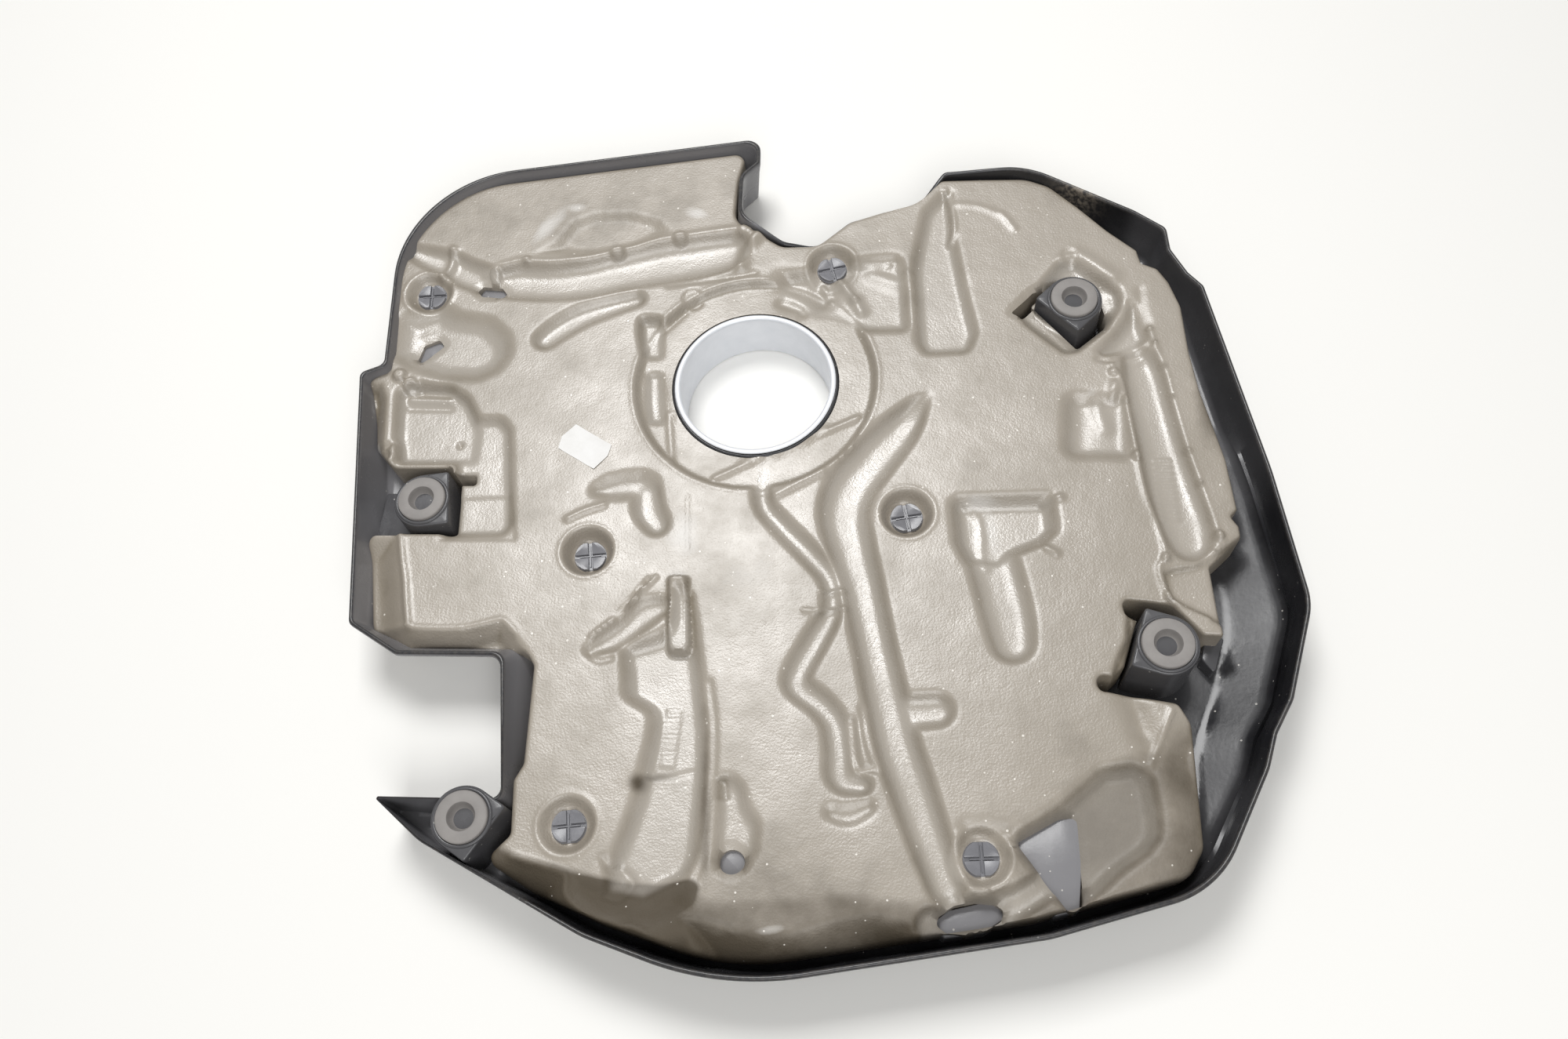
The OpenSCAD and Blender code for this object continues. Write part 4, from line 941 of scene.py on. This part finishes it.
def buildTray():
    s, corners = tray, cover["rim"]
    n = len(corners)
    loop, moves, owners = roundedLoop(corners, 2.5)
    lean = alongCorners(owners, s["leanAt"], s["lean"], n)
    narrow = alongCorners(owners, s["narrow"], 1.0, n)
    drop = alongCorners(owners, s["rimDrop"], 0.0, n)
    # the rim between corners is softened a little so that changes along it aren't sharp
    for _ in range(6):
        lean, drop, narrow = ((np.roll(v, 1) + v + np.roll(v, -1)) / 3 for v in (lean, drop, narrow))
    rim = cover["rimHeight"] - drop

    def ring(inset, z):
        return np.column_stack([loop + moves * (inset * narrow)[:, None], z * np.ones(len(loop))])

    def wallInset(z):
        return np.maximum(rim - z, 0) * lean

    outer, r = [], s["bottomRound"]
    for inset, down in ((2.1, 0.3), (1.25, 0.0), (0.4, 0.3), (0.0, 1.2), (0.0, 3.0)):
        outer.append(ring(inset, rim - down))
    for share in (0.25, 0.5, 0.75):
        z = rim - 3 - share * (rim - 3 - r)
        outer.append(ring(wallInset(z), z))
    for a in np.radians((0, 18, 36, 54, 72, 90)):
        inset = wallInset(r) + r * (1 - math.cos(a))
        place = ring(inset, 0.0)
        place[:, 2] = domeOuter(place[:, 0], place[:, 1]) * math.sin(a) + r * (1 - math.sin(a))
        outer.append(place)
    inner, r = [], s["fillet"]
    wall = cover["skirt"]
    for inset, down in ((2.1, 0.3), (wall, 1.2), (wall, 3.0)):
        inner.append(ring(inset, rim - down))
    for share in (0.3, 0.65):
        z = rim - 3 - share * (rim - 3 - 12)
        inner.append(ring(wallInset(z) + wall, z))
    for a in np.radians((0, 18, 36, 54, 72, 90)):
        inset = wallInset(cover["floor"] + r) + wall + r * (1 - math.cos(a))
        place = ring(inset, 0.0)
        place[:, 2] = floorAt(place[:, 0], place[:, 1]) + r * (1 - math.sin(a))
        inner.append(place)
    parts = MeshParts()
    parts.addRings(outer[1:], closed=False)
    parts.addRings([outer[1], outer[0]] + inner[1:], closed=False)
    centre = cover["filler"]
    line = splinePoints(s["crease"], 2.5)
    across = np.gradient(line, axis=0)
    across = np.stack([-across[:, 1], across[:, 0]], 1) / np.hypot(across[:, 0], across[:, 1])[:, None]
    creases = [line + across * d for d in (-2.4, -1.2, 0.0, 1.2, 2.4)]
    foot, recess = s["neckFoot"], s["collarRecess"]
    floor, faces, _ = fillLoops(inner[-1][:, :2], [circle(centre, foot, 128)], 3.0, rings=(2.5,), creases=creases)
    parts.add(np.column_stack([floor, floorAt(*floor.T)]), faces)
    under, faces, _ = fillLoops(outer[-1][:, :2], [circle(centre, recess, 128)], 8.0)
    parts.add(np.column_stack([under, domeOuter(*under.T)]), faces[:, ::-1])
    base, top = cover["floor"], cover["neckTop"]
    inside, outside = cover["neckInside"], cover["neckOutside"]
    revolve(parts, [
        (recess, 0), (46.6, 0.5), (outside, 1.35), (inside, 1.35), (inside, top), (44.2, top + 0.4),
        (45.6, top + 0.4), (outside, top), (outside, base + 1.85), (46.7, base + 0.6), (foot, base)], centre, 128)
    return parts


def beyondCrease(x, y):
    line = splinePoints(tray["crease"], 4.0)
    order = np.argsort(line[:, 1])
    return x - np.interp(y, line[order, 1], line[order, 0])


def floorAt(x, y):
    # the tray's floor, which bends up along a crease on the right
    out = np.maximum(beyondCrease(x, y) + tray["creaseRound"], 0)
    bent = np.where(out < 2 * tray["creaseRound"], out ** 2 / (4 * tray["creaseRound"]), out - tray["creaseRound"])
    return domeFloor(x, y) + tray["creaseSlope"] * bent * smooth((60 - y) / 30) * smooth((x - 150) / 20)


def makeTray():
    parts = buildTray()
    obj = parts.make("traySkin", sharpAngle=50, merge=0.01)
    towers = MeshParts()
    for tower in cover["towers"].values():
        towerParts(towers, tower)
    for corners, top, _ in tray["pads"]:
        inner = roundedLoop([(*c, 1.2) for c in corners], 1.5)
        centre = np.mean(corners, 0)
        way = inner[0] - centre
        way = way / np.hypot(way[:, 0], way[:, 1])[:, None]
        loops = [atHeight(inner[0] + way * grow, z)
                 for grow, z in ((0.4, domeFloor(*centre) - 1.0), (0.0, top - 0.7), (-0.2, top - 0.2), (-0.7, top))]
        towers.addRings(loops, closed=False)
        towers.add(loops[-1], [list(range(len(way)))])
    towerObj = towers.make("trayTowers", sharpAngle=50, merge=0.01)
    p = placesOf(obj)
    x, y, z = p.T
    # painted highlight: a faint lighter colour along the top of the rim; and a real worn spot near the top
    rimEdge = smooth((z - 38.2) / 1.2)
    spot = np.exp(-(((x - 156) / 19) ** 2 + ((y - 197) / 7) ** 2))
    setAttribute(obj, "wearAndRimHighlight", np.clip(0.12 * rimEdge + 0.9 * spot * smooth((z - 20) / 10), 0, 1))
    setAttribute(obj, "dust", 0.2 + smooth((34 - z) / 18) * 0.5)
    # painted reflection: the walls on the left and at the top are greyest, and the floor in the lower right corner
    inside = 1 - smooth((z - 38.5) / 1.2)
    left = np.maximum(smooth((-115 - x) / 20), smooth((y - 165) / 20) * smooth((20 - x) / 20))
    right = smooth((x - 180) / 10)
    right = np.maximum(0.14 * right * smooth((y + 10) / 40), 0.08 * right * smooth((-125 - y) / 25))
    setAttribute(obj, "paleAndSheen", np.maximum(0.6 * left, right) * inside)
    # the lower stretch of the crease shines
    onCrease = smooth((5 - np.abs(beyondCrease(x, y))) / 3) * smooth((30 - z) / 4)
    setAttribute(obj, "polish", onCrease * smooth((-45 - y) / 15) * smooth((y + 165) / 15))
    p = placesOf(towerObj)
    setAttribute(towerObj, "wearAndRimHighlight", np.zeros(len(p)))
    # the towers get a little painted reflection, the pads their own share with dust
    dust, paleAndSheen = np.full(len(p), 0.45), np.full(len(p), 0.16)
    for corners, top, share in tray["pads"]:
        low, high = np.min(corners, 0) - 1, np.max(corners, 0) + 1
        onPad = np.all((p[:, :2] > low) & (p[:, :2] < high), 1) & (p[:, 2] < top + 0.1)
        dust[onPad], paleAndSheen[onPad] = 0.8, share
    setAttribute(towerObj, "dust", dust)
    setAttribute(towerObj, "paleAndSheen", paleAndSheen)
    for o in (obj, towerObj):
        o.data.materials.append(trayPlastic)
    return obj, towerObj


traySkin, trayTowers = makeTray()
for piece in (traySkin, trayTowers):
    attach(piece, "root")
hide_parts("shell")
print("tray made:", len(traySkin.data.polygons), "faces")


# radii and heights above the tower's plate: flange, funnel, throat and the socket for the ball
mountForm = {
    "profile": [
        (12.3, -4.0), (12.75, -3.6), (12.75, 1.6), (12.5, 2.15), (11.9, 2.5), (7.6, 2.5), (7.0, 2.35), (6.75, 1.9),
        (6.4, 0.6), (5.6, -1.6), (4.6, -2.9), (3.8, -3.3), (3.6, -3.7), (3.6, -4.8), (4.4, -5.6), (5.4, -7.0),
        (5.7, -8.4), (5.3, -10.0), (4.2, -11.4), (2.4, -12.3), (0.05, -12.6)],
    "count": 64}


def mountMaster():
    parts = MeshParts()
    revolve(parts, mountForm["profile"], (0, 0), mountForm["count"], capped=True)
    return parts


def placeByPoints(name, master, places, material):
    # Geometry Nodes: one master on each point, turned by the point's own angle, made real
    tree = bpy.data.node_groups.new(name + "Layout", "GeometryNodeTree")
    tree.interface.new_socket("Places", in_out="INPUT", socket_type="NodeSocketGeometry")
    masterSocket = tree.interface.new_socket("Master", in_out="INPUT", socket_type="NodeSocketObject")
    sizeSocket = tree.interface.new_socket("Size", in_out="INPUT", socket_type="NodeSocketFloat")
    materialSocket = tree.interface.new_socket("Material", in_out="INPUT", socket_type="NodeSocketMaterial")
    tree.interface.new_socket("Pieces", in_out="OUTPUT", socket_type="NodeSocketGeometry")
    given = addNode(tree, "NodeGroupInput")
    info = addNode(tree, "GeometryNodeObjectInfo", None, {"Object": given.outputs["Master"]})
    turn = addNode(tree, "GeometryNodeInputNamedAttribute", {"data_type": "FLOAT_VECTOR"}, {"Name": "turn"})
    spread = addNode(tree, "GeometryNodeInstanceOnPoints", None, {
        "Points": given.outputs["Places"], "Instance": info.outputs["Geometry"], "Scale": given.outputs["Size"]})
    tree.links.new(turn.outputs["Attribute"], spread.inputs["Rotation"])
    real = addNode(tree, "GeometryNodeRealizeInstances", None, {"Geometry": spread.outputs["Instances"]})
    coloured = addNode(tree, "GeometryNodeSetMaterial", None, {
        "Geometry": real.outputs["Geometry"], "Material": given.outputs["Material"]})
    addNode(tree, "NodeGroupOutput", None, {"Pieces": coloured.outputs["Geometry"]})
    mesh = bpy.data.meshes.new(name + "Places")
    mesh.from_pydata([(x * mm, y * mm, z * mm) for x, y, z, _ in places], [], [])
    turns = mesh.attributes.new("turn", "FLOAT_VECTOR", "POINT")
    turns.data.foreach_set("vector", [v for p in places for v in p[3]])
    holder = bpy.data.objects.new(name + "Places", mesh)
    bpy.context.scene.collection.objects.link(holder)
    modifier = holder.modifiers.new("layout", "NODES")
    modifier.node_group = tree
    modifier[masterSocket.identifier] = master
    modifier[sizeSocket.identifier] = 1.0
    modifier[materialSocket.identifier] = material
    bpy.context.view_layer.update()
    graph = bpy.context.evaluated_depsgraph_get()
    made = bpy.data.meshes.new_from_object(holder.evaluated_get(graph))
    bpy.data.objects.remove(holder)
    bpy.data.objects.remove(master)
    obj = bpy.data.objects.new(name, made)
    bpy.context.scene.collection.objects.link(obj)
    return obj


mountPlaces = [(t[0], t[1], t[2], (0.0, 0.0, 0.0)) for t in cover["towers"].values()]
mountBlank = mountMaster().make("mountMaster", 40)
# the socket inside is polished by its ball stud
setAttribute(mountBlank, "polish", smooth((-3.4 - placesOf(mountBlank)[:, 2]) / 0.6))
rubberMounts = placeByPoints("rubberMounts", mountBlank, mountPlaces, rubber)
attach(rubberMounts, "root")
for name in cover["towers"]:
    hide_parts("rubber_mount_" + name)
print("mounts made:", len(rubberMounts.data.polygons), "faces")


clipForm = {"radius": 8.6, "flats": 7.9, "height": 3.2, "groove": 1.9, "grooveDepth": 1.5, "bevel": 0.35, "turn": 9.0}


def clipMaster():
    # head of a push clip: a thin disc with two flats that carries four raised quarters with a cross of grooves between
    s = clipForm
    parts = MeshParts()
    a = np.arange(96) * 2 * math.pi / 96
    disc = np.stack([s["radius"] * np.cos(a), np.clip(s["radius"] * np.sin(a), -s["flats"], s["flats"])], 1)
    low = s["height"] - s["grooveDepth"]
    rings = [atHeight(disc * k, z) for k, z in ((0.97, 0.0), (1.0, 0.25), (1.0, low - 0.3), (0.97, low))]
    parts.addRings(rings, closed=False)
    parts.add(rings[-1], [list(range(96))])
    parts.add(rings[0], [list(range(96))])
    half = s["groove"] / 2
    for sx, sy in ((1, 1), (-1, 1), (-1, -1), (1, -1)):
        r, flat = s["radius"] - 0.45, s["flats"] - 0.35
        first, last = math.asin(half / r), math.acos(half / r)
        corners = [(half, half)] + [(r * math.cos(t),
                                     min(r * math.sin(t), flat)) for t in np.linspace(first, last, 16)]
        loop = np.array(corners) * (sx, sy)
        loop = loop if sx * sy > 0 else loop[::-1]
        middle = loop.mean(0)
        rings = [atHeight(middle + (loop - middle) * k, z)
                 for k, z in ((1.0, low - 0.2), (1.0, s["height"] - s["bevel"]), (0.98, s["height"] - 0.1),
                              (0.93, s["height"]))]
        parts.addRings(rings, closed=False)
        parts.add(rings[-1], [list(range(len(loop)))])
    # low webs stand along both grooves
    for angle, length in ((0.0, 5.5), (math.pi / 2, 6.0)):
        c, q = math.cos(angle), math.sin(angle)
        rings = []
        for w, z in ((0.42, low - 0.1), (0.36, low + 0.55), (0.2, low + 0.7)):
            p = np.array([(-length, -w), (length, -w), (length, w), (-length, w)])
            rings.append(atHeight(np.column_stack([p[:, 0] * c - p[:, 1] * q, p[:, 0] * q + p[:, 1] * c]), z))
        parts.addRings(rings, closed=False)
        parts.add(rings[-1], [[0, 1, 2, 3]])
    return parts


random = np.random.default_rng(41)
clipPlaces = []
for x, y, fall in liner["clips"]:
    tip = np.radians(random.uniform(-2.5, 2.5, 2))
    turn = math.radians(clipForm["turn"] + random.uniform(-7, 7))
    clipPlaces.append((x, y, liner["top"] - fall, (float(tip[0]), float(tip[1]), turn)))
foamClips = placeByPoints("foamClips", clipMaster().make("clipMaster", 30), clipPlaces, clipPlastic)
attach(foamClips, "root")
for number in range(1, 7):
    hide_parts("foam_clip_%d" % number)
print("clips made:", len(foamClips.data.polygons), "faces")


collarForm = {"outside": 43.3, "inside": 41.5, "top": 32.0, "lip": 44.6, "count": 160}


def makeCollar():
    # thin tube pressed into the neck, with a lip round its upper edge; the roughness where the foam was trimmed along
    # it is left out
    s = collarForm
    parts = MeshParts()
    inside, outside, lip, top = s["inside"], s["outside"], s["lip"], s["top"]
    profile = [(inside, 0.3), (inside - 0.02, 1.0), (inside, top - 2.2), (inside + 0.25, top - 0.8),
               (inside + 0.8, top - 0.1), (outside + 0.5, top), (lip, top - 0.4), (lip + 0.1, top - 1.0),
               (lip - 0.5, top - 1.4), (outside, top - 1.5), (outside, 0.6), (outside - 0.4, 0.0),
               (inside + 0.4, 0.0), (inside, 0.3)]
    revolve(parts, profile, cover["filler"], s["count"])
    obj = parts.make("fillerCollar", 50, 0.005)
    obj.data.materials.append(silverLacquer)
    return obj


fillerCollar = makeCollar()
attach(fillerCollar, "root")
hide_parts("filler_collar")


labelForm = {"corners": [(-124, 46.4), (-103.1, 33.5), (-104.6, 26.9), (-111.4, 18.8), (-132.3, 31.7), (-131.1, 39)],
             "thick": 0.25}


def makeLabel():
    # six-sided piece of paper whose corners have come up a little
    s = labelForm
    loop = roundedLoop([(*p, 0.5) for p in s["corners"][::-1]], 2.0)[0][::-1]
    loop = loop[::-1] if np.cross(loop[1] - loop[0], loop[2] - loop[1]) < 0 else loop
    parts = MeshParts()
    flat, faces, starts = fillLoops(loop, [], 1.8)
    middle = flat.mean(0)
    far = np.hypot(*(flat - middle).T) / np.hypot(*(loop - middle).T).max()
    lift = 0.35 * smooth((far - 0.72) / 0.28) + 0.12 * np.sin(flat[:, 0] * 0.5) * far
    top = liner["top"] + s["thick"] + np.maximum(lift, 0)
    parts.add(np.column_stack([flat, top]), faces)
    base = parts.add(np.column_stack([flat, top - s["thick"] + 0.02]), faces[:, ::-1])
    n = starts[-1]
    for i in range(n):
        j = (i + 1) % n
        parts.faces.append([int(i), int(base + i), int(base + j), int(j)])
    obj = parts.make("paperLabel", 40, 0.001)
    obj.data.materials.append(labelPaper)
    return obj


paperLabel = makeLabel()
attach(paperLabel, "root")
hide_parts("paper_label")
print("collar and label made")


# the camera as it was worked out from the photo's perspective
view = {"place": (0.04622, -0.29271, 0.62458), "right": (0.99662002, 0.03571917, -0.07397754),
        "up": (-0.00039722, 0.90260848, 0.43046229), "lens": 28.9245}
right, up = Vector(view["right"]), Vector(view["up"])
back = right.cross(up)
camera = bpy.data.objects.new("camera", bpy.data.cameras.new("camera"))
camera.matrix_world = Matrix.Translation(view["place"]) @ Matrix((right, up, back)).transposed().to_4x4()
camera.data.sensor_width = 36.0
camera.data.lens = view["lens"]
camera.data.clip_start = 0.01
bpy.context.scene.collection.objects.link(camera)
bpy.context.scene.camera = camera

floorMesh = bpy.data.meshes.new("benchTop")
floorMesh.from_pydata([(-6, -6, -0.0004), (6, -6, -0.0004), (6, 6, -0.0004), (-6, 6, -0.0004)], [], [(0, 1, 2, 3)])
floorPlane = bpy.data.objects.new("benchTop", floorMesh)
bpy.context.scene.collection.objects.link(floorPlane)
floorMaterial, _, floorShader = newMaterial("white laminate bench")
floorShader.inputs["Base Color"].default_value = toLinear("#fbfaf6")
floorShader.inputs["Roughness"].default_value = 0.6
floorMesh.materials.append(floorMaterial)

lights = {"softbox": {"power": 23.0, "size": 0.78, "place": (-0.27, 0.8, 1.75)},
          "fill": {"power": 14.5, "size": 1.0, "place": (0.3, -1.15, 1.45)}, "world": 0.215}
for name in ("softbox", "fill"):
    settings = lights[name]
    lampData = bpy.data.lights.new(name, "AREA")
    lampData.shape = "SQUARE"
    lampData.size = settings["size"]
    lampData.energy = settings["power"]
    lamp = bpy.data.objects.new(name, lampData)
    lamp.location = settings["place"]
    lamp.rotation_euler = (Vector((0, 0, 0)) - Vector(settings["place"])).to_track_quat("-Z", "Y").to_euler()
    bpy.context.scene.collection.objects.link(lamp)

world = bpy.data.worlds.new("studio")
bpy.context.scene.world = world
world.use_nodes = True
worldTree = world.node_tree
worldTree.nodes.clear()
rays = addNode(worldTree, "ShaderNodeLightPath")
seen = compute(worldTree, "MAXIMUM", rays.outputs["Is Camera Ray"], rays.outputs["Is Glossy Ray"])
seen = compute(worldTree, "MAXIMUM", seen, rays.outputs["Is Transmission Ray"])
dim = addNode(worldTree, "ShaderNodeBackground", None, {"Color": (1, 1, 1, 1), "Strength": lights["world"]})
white = addNode(worldTree, "ShaderNodeBackground", None, {"Color": (1, 1, 1, 1), "Strength": 1.0})
either = addNode(worldTree, "ShaderNodeMixShader", None, {0: seen, 1: dim.outputs[0], 2: white.outputs[0]})
addNode(worldTree, "ShaderNodeOutputWorld", None, {"Surface": either.outputs[0]})
bpy.context.scene.view_settings.view_transform = "Standard"
print("scene lit")
